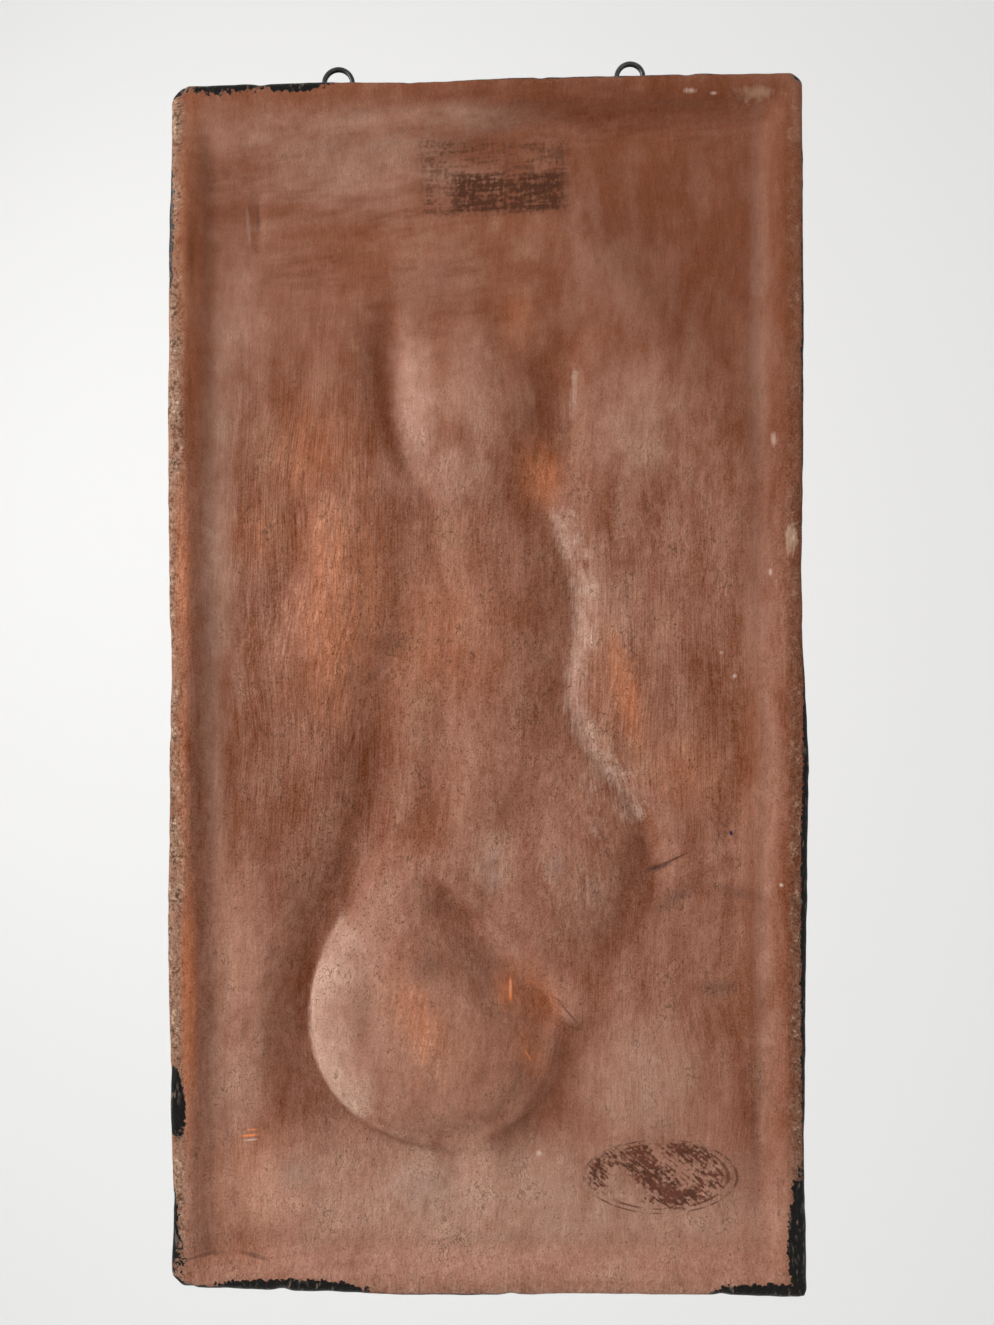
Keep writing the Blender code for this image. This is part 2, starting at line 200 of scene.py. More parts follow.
# Stains and washes in the surface, with patches of painted shade and painted highlight among them: across,
# up, half width, half height, turn in degrees, strength.
# These say how fast a stain falls off and how flat it stays in its middle
PATCH_FALL = 0.7
PATCH_FLATNESS = 1.5
ORANGE_WEAR = (
    (-59, 36, 16, 44, -2, 0.62), (-63, 8, 9, 26, 4, 0.6), (-72, 96, 15, 18, 0, 0.35),
    (-92, 62, 14, 12, 0, 0.25), (23, 88, 7, 12, 8, 0.8), (14, 150, 6, 12, 0, 0.3),
    (58, -2, 5, 22, 14, 0.7), (52, 4, 9, 16, 0, 0.25), (-26, -137, 9, 18, 24, 0.6),
    (-12, -152, 26, 22, 0, 0.25), (19, -128, 9, 14, 24, 0.6), (18, -150, 6, 12, 20, 0.55),
    (-125, 46, 3.2, 44, 0, 0.9), (-123, -132, 2.8, 48, 0, 1.0), (-125, -30, 2.6, 50, 0, 0.6),
    (-125, 180, 3, 44, 0, 0.45), (-120.5, 150, 3, 90, 0, 0.3), (-96, -210, 20, 22, 0, 0.34),
    (-104, -118, 9, 44, 0, 0.22), (82, -36, 14, 14, 0, 0.3), (110, -50, 6, 70, 0, 0.2),
    (-20, 20, 24, 24, 0, 0.25),
)
# Dark wash, and painted shade: on the top inner slope, down the right edge and rim, in the troughs, on the
# right sides of the masses, and over a lit spot above the blade
DARK_WASH_AND_SHADE = (
    (84, 186, 50, 60, 0, 0.6), (88, 160, 13, 44, 36, 0.65), (60, 241, 84, 14, 0, 0.85),
    (118, 150, 14, 120, 0, 0.75), (128.5, 0, 5.5, 215, 0, 0.95), (127.5, -90, 6.5, 150, 0, 0.95),
    (104, 245, 34, 8, 0, 0.5), (126, -160, 5, 90, 0, 0.6), (-30, 160, 18, 9, 0, 0.35),
    (-50, -28, 14, 34, 8, 0.5), (-74, -98, 12, 44, 22, 0.5), (-27, 36, 14, 34, 0, 0.2),
    (23, 100, 9, 22, 0, 0.3), (63, -86, 7, 22, -8, 0.75), (52, -108, 14, 9, 30, 0.45),
    (-6, -98, 10, 20, 35, 0.25), (-84, 160, 26, 24, 0, 0.2), (17, -168, 10, 22, 14, 0.4),
    (86, -80, 20, 3.5, 24, 0.35), (100, -90, 12, 4, -16, 0.3), (-81, 50, 5, 18, 0, 0.5),
    (-122, 160, 4, 100, 0, 0.45), (-88, 204, 22, 11, 0, 0.3), (-20, 226, 60, 7, 0, 0.3),
    (-50, 196, 12, 9, 20, 0.3), (-40, 168, 30, 5, 6, 0.25), (-74, 180, 20, 6, 0, 0.25),
)
# Pale wear, and painted highlight on lit places: the left blade, the inner slope on the right and the sill
PALE_WEAR_AND_HIGHLIGHT = (
    (-50, -98, 7, 20, -36, 0.3), (-28, 116, 8, 25, 6, 0.55), (-24, -152, 36, 38, 0, 0.28),
    (-12, 88, 16, 13, -30, 0.35), (0, -216, 112, 26, 0, 0.5), (-113, 62, 5, 66, 0, 0.4),
    (-113, -40, 3.5, 60, 0, 0.3), (-104, -140, 12, 54, 0, 0.5), (-62, 229, 46, 8, 0, 0.35),
    (-4, 118, 12, 26, 6, 0.3), (114, 160, 3.2, 66, 0, 0.22), (114.5, -100, 3.2, 110, 0, 0.3),
    (-102, 150, 12, 40, 0, 0.2), (62, 110, 18, 22, 0, 0.3), (42, -87, 12, 17, 0, 0.22),
    (0, -70, 12, 13, 0, 0.3), (-92, -212, 22, 18, 0, 0.6), (64, -165, 24, 24, 0, 0.4),
    (-40, 212, 40, 9, 0, 0.2), (-12, 234, 30, 5, 0, 0.35), (0, -241, 110, 3, 0, 0.3),
    (50, 24, 12, 30, 0, 0.3), (-60, 46, 9, 30, 0, 0.2),
)
BLACK_SPILLS = (
    (-106, 248.0, 20, 4.6, 0, 0.68), (-76, 249.0, 15, 4.0, 3, 0.92), (-27, 250.3, 13, 1.9, 0, 0.9),
    (-129.5, 190, 1.8, 40, 0, 0.62), (-128.2, -172, 4.2, 15, 4, 1.0),
    (-129.5, -224, 3.4, 22, 0, 0.72), (-80, -248.2, 32, 4.2, -1, 1.0),
    (-120, -249.5, 14, 2.4, 0, 0.8), (8, -250.5, 60, 1.5, 0, 0.8), (110, -247.5, 22, 4.6, 3, 0.82),
    (128, -226, 5.5, 30, 0, 0.95), (130.4, -120, 2.4, 110, 0, 0.85), (130.8, 60, 1.4, 190, 0, 0.75),
    (129, -150, 4.5, 110, 0, 0.30), (-129, 200, 4.5, 60, 0, 0.36), (-127, -236, 5, 14, 0, 0.5),
    (0, 250.6, 132, 2.0, 0, 0.8),
)
PITTED = (
    (-58, -80, 26, 56, 20, 1.0), (-106, -58, 14, 20, 0, 0.7), (-44, 20, 20, 36, 0, 0.8),
    (-10, -30, 60, 60, 0, 0.5), (-30, -190, 26, 8, 0, 0.6), (30, -30, 30, 30, 0, 0.5),
)
# Where the brush left its hairs, standing and lying
BRUSHED = (
    (-80, 70, 40, 70, 0, 1.0), (-72, -20, 36, 50, 0, 0.9), (74, 4, 34, 60, 0, 0.8),
    (60, -150, 40, 50, 0, 0.5), (-20, 60, 40, 60, 0, 0.3),
)
SWEPT = (
    (-60, 200, 60, 36, 0, 1.0), (0, 232, 110, 12, 0, 1.0), (-20, 160, 44, 30, 0, 0.7),
    (0, -236, 120, 12, 0, 0.6),
)
# Where slanted scratches show brighter clay
SCRATCHED = (
    (-27, -138, 8, 24, 22, 1.0), (-60, 40, 12, 40, 0, 0.5), (56, 2, 6, 18, 14, 0.6),
    (22, 90, 5, 10, 8, 0.6), (-90, 20, 14, 30, -30, 0.5),
)
# Streaks along a line that runs down: points across and up, half width on its left and right, strength
# Chalk streaks; the upper streak along the waist is also a painted highlight
CHALK_AND_HIGHLIGHT = {
    "waist": (
        (
            (24, 82), (31.5, 64), (38, 48), (40, 31), (37, 9), (37, -12), (43, -28), (51, -38), (60, -48),
            (68, -60),
        ),
        4, 8, 0.66,
    ),
    "waist_foot": (((42, -20), (51, -35), (60, -46), (67, -60)), 8, 3, 0.66),
    "waist_drip": (((43, -34), (45, -50), (46, -66)), 6, 6, 0.4),
    "right_seat": (((40, -64), (42, -80), (40, -98)), 5, 6, 0.25),
    "seat_spot": (((24, -66), (26, -78), (25, -90)), 4, 4, 0.28),
    "neck": (((38, 132), (37, 120), (36, 108)), 1.5, 2, 0.55),
}
# Painted shade: dark lines where shade falls, along the troughs, the cleft, the blade, the right flank,
# the seats' edges and the foot of the inner slopes
PAINTED_SHADE_LINES = {
    "trough": (
        (
            (-50, -64), (-60, -90), (-69, -111), (-75, -129), (-76, -147), (-72, -163), (-64, -176),
            (-52, -186),
        ),
        16, 1.4, 0.66,
    ),
    "cleft": (((-22, -84), (-10, -96), (2, -110), (16, -125), (27, -137)), 14, 2.0, 0.5),
    "blade": (((-41, 146), (-39.5, 134), (-37, 120), (-31, 103), (-22, 88)), 13, 1.6, 0.6),
    "right_flank": (((24, 72), (33, 47), (35, 31), (31, 9), (31, -12), (39, -30)), 12, 2.5, 0.4),
    "right_seat": (((62, -58), (68, -74), (68, -88), (60, -104), (48, -118)), 15, 2.5, 0.85),
    "seat_right": (((30, -134), (33, -148), (31, -162), (24, -174), (12, -184), (-6, -191)), 2.0, 21, 0.8),
    "left_inner": (((-119, 228), (-118.5, 60), (-119, -60), (-119.5, -236)), 2.5, 2.5, 0.34),
    "right_inner": (((111, -50), (111, -110), (110.5, -170), (109.5, -228)), 3, 3.5, 0.65),
    "right_groove": (((106, -150), (107, -180), (104, -204), (96, -226)), 5, 3, 0.6),
}
# Painted highlight: a pale crescent along the lit left flank of the left seat
PAINTED_HIGHLIGHT_LINES = {
    "crescent": (
        (
            (-58, -92), (-67, -110), (-73, -128), (-74.5, -144), (-71, -159), (-61, -174), (-46, -184),
        ),
        1.2, 20, 1.0,
    ),
}

# Smooth above and coarse below, and where it is smoothed again
SMOOTH_TOP = 0.40
COARSE_BELOW = 0.165
COARSE_RUN = 0.110
SMOOTHED = (
    (-22, -146, 44, 44, 0, 0.25), (60, -190, 60, 50, 0, 0.35), (-60, -220, 50, 24, 0, 0.15),
    (-100, -160, 20, 60, 0, 0.2), (-113, 60, 7, 130, 0, 0.5), (113, 0, 6, 200, 0, 0.4),
)
# Where the wash dried to a greyer bloom
GREYED = (
    (-109, 150, 8, 80, 0, 0.45), (-110, 20, 8, 60, 0, 0.5), (-60, 214, 60, 16, 0, 0.55),
    (56, 170, 26, 40, 30, 0.35), (70, 100, 30, 40, 0, 0.25), (113, 60, 8, 170, 0, 0.6),
    (-24, -209, 18, 14, 0, 0.8), (-80, -203, 12, 12, 0, 0.6), (3, -78, 7, 15, 0, 0.35),
    (30, -76, 7, 12, 0, 0.35), (40, -215, 60, 20, 0, 0.4), (-66, -150, 8, 30, 0, 0.6),
)

# Worn rims: their widths, how softly they end, how much of each is worn, 1 all down the left side, and
# where the ends' wear grows towards the corners
SIDE_WEAR_WIDTH = 0.0085
END_WEAR_WIDTH = 0.0055
WEAR_FADE = 0.0035
RIGHT_WEAR = 0.22
RIGHT_WEAR_MORE = 0.5
RIGHT_WEAR_RUN = 0.12
TOP_WEAR_LEFT = 0.9
TOP_WEAR_RIGHT = 0.1
FOOT_WEAR = 0.4
CORNER_WEAR_START = 0.070
CORNER_WEAR_RUN = 0.040

# Black paint on the sides: where it starts, in shares of the edge's rounding, and on the back's edge.
# It starts further back past this share of the width, on the left
PAINT_START = 0.22
PAINT_START_LEFT = 0.5
LEFT_EDGE = 0.45
PAINT_FADE = 0.0014
BACK_BAND = 0.004
BACK_BLACK = 0.45

# Reach over which the front is felt for hollows, how strongly the painted shade in them and the pale wear
# and painted highlight on the ridges show, and where the ridges start inside the rim and along the sill
CURL_REACH = 0.007
HOLLOW_GAIN = 1.8
PROUD_GAIN = 2.2
INSIDE_START = 0.009
INSIDE_RUN = 0.007
SILL_FROM = -0.228
SILL_GAIN = 0.7

# Depths behind the front where it ends, for the layers and for the single marks
FRONT_END = 0.020
FRONT_FADE = 0.006
FACING_FULL = 0.017
FACING_END = 0.019

# Fineness of the meshes
RELIEF_CELL = 0.00126
SIDE_RINGS = 6
ARCH_STEPS = 36
LEG_STEPS = 6
WIRE_ROUND_STEPS = 6

# Edges turned by more than this many degrees stay sharp
CLAY_SHARP_FROM = 42
WIRE_SHARP_FROM = 50

# Places that follow from the sizes above
LOOP_TOP_INSIDE = LOOP_HEIGHT - WIRE_THICKNESS
SLAB_TOP = -LOOP_TOP_INSIDE
SLAB_MIDDLE = SLAB_TOP - SLAB_HEIGHT / 2
HALF_WIDTH = SLAB_WIDTH / 2
HALF_HEIGHT = SLAB_HEIGHT / 2
WALL_PLANE = SLAB_DEPTH - LOOP_SET_BACK
FRONT_PLANE = WALL_PLANE - SLAB_DEPTH
HOLLOW_DEPTH = SLAB_DEPTH - PANEL_SINK - GROOVE_LIMIT - FRONT_WALL


# The relief, worked with the part's own forms

def smooth_step(share):
    """An even start and stop between 0 and 1."""
    share = np.clip(share, 0, 1)
    return share * share * (3 - 2 * share)


def smooth_max(first, second, blend):
    """The higher of two surfaces, with the crease between them rounded."""
    near = np.maximum(blend - np.abs(first - second), 0) / blend
    return np.maximum(first, second) + blend * near * near / 4


def turned_share(x, z, oval):
    """Place in a turned oval, in shares of its half width and half height."""
    across, up, half_width, half_height, turn = oval
    cos, sin = math.cos(math.radians(turn)), math.sin(math.radians(turn))
    dx, dz = x - across * STEP, z - up * STEP
    return (cos * dx + sin * dz) / (half_width * STEP), (cos * dz - sin * dx) / (half_height * STEP)


def mass_surface(x, z, mass):
    """A rounded mass that rises from the foot of the figure."""
    *oval, height, left, right = mass
    u, v = turned_share(x, z, oval)
    out = u * u + v * v
    fullness = left + (right - left) * smooth_step((u + 1) / 2)
    rise = np.power(np.maximum(1 - out, 0), fullness)
    return -FIGURE_FOOT + (height * STEP + FIGURE_FOOT) * rise - OUTER_FALL * np.maximum(out - 1, 0)


def torso_surface(x, z):
    """The core of the torso, one rounded length between each two of its stations."""
    best = np.full(x.shape, -SLAB_DEPTH)
    for (ax, az, a_width, a_height), (bx, bz, b_width, b_height) in zip(TORSO, TORSO[1:]):
        run_x, run_z = (bx - ax) * STEP, (bz - az) * STEP
        along = ((x - ax * STEP) * run_x + (z - az * STEP) * run_z) / (run_x ** 2 + run_z ** 2)
        along = np.clip(along, 0, 1)
        off = np.hypot(x - ax * STEP - along * run_x, z - az * STEP - along * run_z)
        out = np.square(off / ((a_width + (b_width - a_width) * along) * STEP))
        height = (a_height + (b_height - a_height) * along) * STEP
        rise = np.power(np.maximum(1 - out, 0), TORSO_FULLNESS)
        core = -TORSO_FOOT + (height + TORSO_FOOT) * rise - OUTER_FALL * np.maximum(out - 1, 0)
        best = np.maximum(best, core)
    return best


def curved(points):
    """A smooth line through points, with a few short lengths between each two."""
    places = [np.array(point) for point in (points[0], *points, points[-1])]
    line = []
    for before, start, end, after in zip(places, places[1:], places[2:], places[3:]):
        for step in range(CURVE_STEPS):
            t = step / CURVE_STEPS
            straight = (end - before) / 2
            turn = before - 2.5 * start + 2 * end - after / 2
            ease = (after - before) / 2 + 1.5 * (start - end)
            line.append(start + straight * t + turn * t ** 2 + ease * t ** 3)
    return line + [places[-1]]


def along_line(x, z, points):
    """Distance to a line that runs down, the place along it from 0 to 1, and which side of it is near."""
    total = sum(math.dist(a, b) for a, b in zip(points, points[1:]))
    best = np.full(x.shape, 1.0)
    share = np.zeros(x.shape)
    side = np.zeros(x.shape)
    done = 0
    for (ax, az), (bx, bz) in zip(points, points[1:]):
        length = math.dist((ax, az), (bx, bz))
        run_x, run_z = (bx - ax) * STEP, (bz - az) * STEP
        from_x, from_z = x - ax * STEP, z - az * STEP
        along = np.clip((from_x * run_x + from_z * run_z) / (run_x ** 2 + run_z ** 2), 0, 1)
        off = np.hypot(from_x - along * run_x, from_z - along * run_z)
        nearer = off < best
        share = np.where(nearer, (done + along * length) / total, share)
        side = np.where(nearer, run_x * from_z - run_z * from_x, side)
        best = np.minimum(best, off)
        done += length
    return best, share, side


def groove_surface(x, z, grooves):
    """Grooves with a slope of their own on each side, faded out towards both ends."""
    depth_here = np.zeros(x.shape)
    for points, left, right, depth in grooves.values():
        off, share, side = along_line(x, z, curved(points))
        taper = smooth_step(share / TAPER_SHARE) * smooth_step((1 - share) / TAPER_SHARE)
        half_width = np.where(side < 0, left, right) * STEP
        depth_here += depth * STEP * taper * np.exp(-np.square(off / half_width))
    return -np.minimum(depth_here, GROOVE_LIMIT)


def swell_surface(x, z):
    """All soft swellings together."""
    height_here = np.zeros(x.shape)
    for *oval, height in SWELLS.values():
        u, v = turned_share(x, z, oval)
        height_here += height * STEP * np.exp(-(u * u + v * v))
    return height_here


def relief_height(x, z):
    """Height of the figure and its ground over the panel."""
    figure = torso_surface(x, z)
    for mass in MASSES.values():
        figure = smooth_max(figure, mass_surface(x, z, mass), MASS_BLEND)
    body = smooth_max(groove_surface(x, z, GROOVES), figure, GROUND_BLEND)
    relief = body + swell_surface(x, z) + groove_surface(x, z, VALLEYS)
    return np.maximum(relief, -GROOVE_LIMIT) + groove_surface(x, z, MARKS)


def front_depth(x, z):
    """How far the front stands out from the wall, from the rim's edge to the figure."""
    from_side = HALF_WIDTH - np.abs(x)
    from_top = HALF_HEIGHT - z
    from_bottom = HALF_HEIGHT + z
    from_edge = np.minimum(from_side, np.minimum(from_top, from_bottom))
    soft = smooth_step((SOFT_LINTEL_START - x) / SOFT_LINTEL_RUN)
    lintel = LINTEL_SLOPE + SOFT_LINTEL_EXTRA * soft
    inside = (
        smooth_step((from_side - RIM_WIDTH) / RIM_SLOPE)
        * smooth_step((from_top - RIM_WIDTH) / lintel)
        * smooth_step((from_bottom - RIM_WIDTH) / SILL_SLOPE)
    )
    on_round = np.clip(1 - from_edge / EDGE_ROUND, 0, 1)
    rounding = EDGE_ROUND * (1 - np.sqrt(1 - np.square(on_round)))
    return SLAB_DEPTH - rounding + inside * (relief_height(x, z) - PANEL_SINK)


def grid_lines(length):
    """Places of the grid's lines across one side: close together on the edge, even inside."""
    edge = [0, EDGE_ROUND / 8, EDGE_ROUND / 3, EDGE_ROUND * 2 / 3, EDGE_ROUND]
    inner = length - 2 * edge[-1]
    cells = round(inner / RELIEF_CELL)
    middle = [edge[-1] + inner * n / cells for n in range(1, cells)]
    lines = edge + middle + [length - place for place in reversed(edge)]
    return np.array(lines) - length / 2


def round_corner(x, z):
    """Draws the square corners of the grid in to round ones."""
    past_x = np.maximum(np.abs(x) - (HALF_WIDTH - CORNER_RADIUS), 0)
    past_z = np.maximum(np.abs(z) - (HALF_HEIGHT - CORNER_RADIUS), 0)
    pull_x = past_x * (1 - np.sqrt(1 - np.square(past_z / CORNER_RADIUS) / 2))
    pull_z = past_z * (1 - np.sqrt(1 - np.square(past_x / CORNER_RADIUS) / 2))
    return x - np.sign(x) * pull_x, z - np.sign(z) * pull_z


def bow(along, bows):
    """How far one edge bows outwards."""
    out = np.zeros(along.shape)
    for place, half_length, outwards in bows:
        out += outwards * STEP * np.exp(-np.square((along - place * STEP) / (half_length * STEP)))
    return out


def bow_edges(x, z):
    """Draws the straight sides of the grid out and in to the hand-cut ones."""
    side = np.where(x < 0, bow(z, EDGE_BOWS["left"]), bow(z, EDGE_BOWS["right"]))
    end = np.where(z < 0, bow(x, EDGE_BOWS["bottom"]), bow(x, EDGE_BOWS["top"]))
    return x * (1 + side / HALF_WIDTH), z * (1 + end / HALF_HEIGHT)


# Shaping by hand

def leave_all():
    """Lets go of everything, so that the next step acts on one piece."""
    for piece in bpy.context.selected_objects:
        piece.select_set(False)


def take(piece):
    """Takes up one piece alone."""
    leave_all()
    piece.select_set(True)
    bpy.context.view_layer.objects.active = piece


def apply_place(piece):
    """Puts a piece's place, turn and size into its mesh."""
    take(piece)
    bpy.ops.object.transform_apply(location=True, rotation=True, scale=True)


def apply_modifier(piece, kind, **settings):
    """Adds one modifier and applies it."""
    take(piece)
    modifier = piece.modifiers.new(kind.title(), kind)
    for setting, value in settings.items():
        setattr(modifier, setting, value)
    bpy.ops.object.modifier_apply(modifier=modifier.name)


def vertex_places(mesh):
    """All vertices of a mesh as rows of x, y and z."""
    flat = np.empty(len(mesh.vertices) * 3)
    mesh.vertices.foreach_get("co", flat)
    return flat.reshape(-1, 3)


def move_vertices(mesh, places):
    """Puts all vertices of a mesh at new places."""
    mesh.vertices.foreach_set("co", places.ravel())
    mesh.update()


def extrude_back(distance, shrink=0.0):
    """Draws the selected edge back towards the wall, and in by a little."""
    bpy.ops.mesh.extrude_region_move(TRANSFORM_OT_translate={"value": (0, distance, 0)})
    if shrink:
        size = (1 - shrink / HALF_WIDTH, 1, 1 - shrink / HALF_HEIGHT)
        bpy.ops.transform.resize(value=size, center_override=(0, 0, 0))


def rolled_slab():
    """The clay as one closed body: the relief in front, straight sides and a flat back."""
    columns, rows = grid_lines(SLAB_WIDTH), grid_lines(SLAB_HEIGHT)
    leave_all()
    bpy.ops.mesh.primitive_grid_add(x_subdivisions=len(columns) - 1, y_subdivisions=len(rows) - 1, size=1)
    slab = bpy.context.object
    slab.name = slab.data.name = "clay_relief"
    flat = vertex_places(slab.data)
    x = columns[np.rint((flat[:, 0] + 0.5) * (len(columns) - 1)).astype(int)]
    z = rows[np.rint((flat[:, 1] + 0.5) * (len(rows) - 1)).astype(int)]
    depth = front_depth(x, z)
    x, z = bow_edges(*round_corner(x, z))
    move_vertices(slab.data, np.column_stack((x, -depth, z)))

    bpy.ops.object.mode_set(mode="EDIT")
    bpy.ops.mesh.select_mode(type="EDGE")
    bpy.ops.mesh.select_all(action="DESELECT")
    bpy.ops.mesh.select_non_manifold()
    for _ in range(SIDE_RINGS):
        extrude_back((SLAB_DEPTH - EDGE_ROUND - BACK_ROUND) / SIDE_RINGS)
    extrude_back(BACK_ROUND, shrink=BACK_ROUND)
    bpy.ops.mesh.edge_face_add()
    bpy.ops.object.mode_set(mode="OBJECT")
    slab.location = (0, WALL_PLANE, SLAB_MIDDLE)
    apply_place(slab)
    return slab


def knock_chips(slab):
    """Presses small chips and bruises into the front edge."""
    places = vertex_places(slab.data)
    x, z = places[:, 0], places[:, 2] - SLAB_MIDDLE
    behind = places[:, 1] - FRONT_PLANE
    for across, up, reach, depth in CHIPS:
        off = np.sqrt((x - across * STEP) ** 2 + (z - up * STEP) ** 2 + (behind * CHIP_FLATNESS) ** 2)
        push = depth * STEP * np.square(np.maximum(1 - off / (reach * STEP), 0)) * CHIP_PUSH
        places[:, 1] += push * CHIP_FROM_FRONT
        places[:, 0] -= np.sign(across) * push * (np.abs(x) > HALF_WIDTH - CHIP_BAND)
        places[:, 2] -= np.sign(up) * push * (np.abs(z) > HALF_HEIGHT - CHIP_BAND)
    move_vertices(slab.data, places)


def pat_surface(piece, name, size, strength):
    """Leaves the small unevenness of clay patted and scraped by hand."""
    lumps = bpy.data.textures.new(name, "CLOUDS")
    lumps.noise_scale = size
    lumps.noise_depth = 2
    apply_modifier(
        piece, "DISPLACE", texture=lumps, texture_coords="LOCAL", strength=strength, mid_level=0.5,
    )


def hollow_tool():
    """The shape scooped out of the back."""
    leave_all()
    bpy.ops.mesh.primitive_cube_add(size=1)
    tool = bpy.context.object
    tool.scale = (SLAB_WIDTH - 2 * WALL, HOLLOW_DEPTH + CUT_PAST, SLAB_HEIGHT - 2 * WALL)
    tool.location = (0, WALL_PLANE + (CUT_PAST - HOLLOW_DEPTH) / 2, SLAB_MIDDLE)
    apply_place(tool)
    floor = WALL_PLANE - HOLLOW_DEPTH
    for edge in tool.data.edges:
        first, second = (tool.data.vertices[n].co for n in edge.vertices)
        edge.select = abs(first.y - second.y) > HOLLOW_DEPTH / 2
    bpy.ops.object.mode_set(mode="EDIT")
    bpy.ops.mesh.select_mode(type="EDGE")
    bpy.ops.mesh.bevel(offset=HOLLOW_CORNER, segments=6, affect="EDGES")
    bpy.ops.mesh.select_all(action="DESELECT")
    bpy.ops.object.mode_set(mode="OBJECT")
    for face in tool.data.polygons:
        face.select = abs(face.center.y - floor) < STEP
    bpy.ops.object.mode_set(mode="EDIT")
    bpy.ops.mesh.select_mode(type="FACE")
    for inwards, deeper in FLOOR_STEPS:
        bpy.ops.mesh.inset(thickness=inwards, depth=0)
        bpy.ops.transform.translate(value=(0, -deeper, 0))
    bpy.ops.object.mode_set(mode="OBJECT")
    return tool


def socket_tool(across):
    """The hole that one leg of a loop is set in."""
    leave_all()
    bpy.ops.mesh.primitive_cylinder_add(
        vertices=20, radius=WIRE_THICKNESS / 2 + SOCKET_GAP, depth=SOCKET_DEPTH + CUT_PAST,
        location=(across, 0, SLAB_TOP + (CUT_PAST - SOCKET_DEPTH) / 2),
    )
    tool = bpy.context.object
    apply_place(tool)
    return tool


def take_out(piece, tools):
    """Cuts the shapes of some tools out of a piece and puts the tools away."""
    for tool in tools:
        apply_modifier(piece, "BOOLEAN", operation="DIFFERENCE", solver="EXACT", object=tool)
        bpy.data.objects.remove(tool, do_unlink=True)


def loop_path(width, spread):
    """Middle line of one loop: a leg in the clay, up, round the arch and down again."""
    arch = (width - WIRE_THICKNESS) / 2
    leg = (spread - WIRE_THICKNESS) / 2
    arch_base = WIRE_THICKNESS / 2 - arch
    foot = SLAB_TOP - SOCKET_DEPTH + SOCKET_GAP
    rise = [n / LEG_STEPS for n in range(LEG_STEPS)]
    left = [(-leg, foot)]
    left += [(-leg + (leg - arch) * smooth_step(s), SLAB_TOP + (arch_base - SLAB_TOP) * s) for s in rise]
    over = [
        (-arch * math.cos(math.pi * n / ARCH_STEPS), arch_base + arch * math.sin(math.pi * n / ARCH_STEPS))
        for n in range(ARCH_STEPS + 1)
    ]
    right = [(-x, z) for x, z in reversed(left)]
    return left + over + right


def bent_wire(name, side, width, spread):
    """One hanging loop, bent from round wire."""
    path = loop_path(width, spread)
    curve = bpy.data.curves.new(name, "CURVE")
    curve.dimensions = "3D"
    curve.bevel_depth = WIRE_THICKNESS / 2
    curve.bevel_resolution = WIRE_ROUND_STEPS
    curve.use_fill_caps = True
    spline = curve.splines.new("POLY")
    spline.points.add(len(path) - 1)
    for point, (x, z) in zip(spline.points, path):
        point.co = (x, 0, z, 1)
    loop = bpy.data.objects.new(name, curve)
    loop.location.x = side * LOOP_SPACING / 2
    bpy.context.collection.objects.link(loop)
    take(loop)
    bpy.ops.object.convert(target="MESH")
    apply_place(loop)
    bpy.ops.object.shade_smooth_by_angle(angle=math.radians(WIRE_SHARP_FROM))
    return loop, [side * LOOP_SPACING / 2 + x for x, _ in (path[0], path[-1])]


# Layers painted on the surface

def patch_layer(x, z, patches):
    """Soft patches, the strongest where they meet: stains, wear, painted shade and painted highlight."""
    layer = np.zeros(x.shape)
    for *oval, strength in patches:
        u, v = turned_share(x, z, oval)
        layer = np.maximum(layer, strength * np.exp(-PATCH_FALL * (u * u + v * v) ** PATCH_FLATNESS))
    return layer


def streak_layer(x, z, streaks):
    """Soft streaks along lines, the strongest where they meet."""
    layer = np.zeros(x.shape)
    for points, left, right, strength in streaks.values():
        off, share, side = along_line(x, z, curved(points))
        taper = smooth_step(share / STREAK_TAPER) * smooth_step((1 - share) / STREAK_TAPER)
        half_width = np.where(side < 0, left, right) * STEP
        layer = np.maximum(layer, strength * taper * np.exp(-np.square(off / half_width)))
    return layer


def hollowness(x, z, reach):
    """How much lower a place lies than the ring round it, per metre of reach."""
    ring = sum(
        front_depth(x + reach * math.cos(turn), z + reach * math.sin(turn))
        for turn in np.arange(8) * math.pi / 4
    )
    return (ring / 8 - front_depth(x, z)) / reach


def write_layer(mesh, name, channels):
    """Keeps three layers in one colour attribute of the mesh."""
    attribute = mesh.attributes.new(name, "FLOAT_COLOR", "POINT")
    rows = np.ones((len(mesh.vertices), 4), dtype=np.float32)
    for n, channel in enumerate(channels):
        rows[:, n] = channel
    attribute.data.foreach_set("color", rows.ravel())


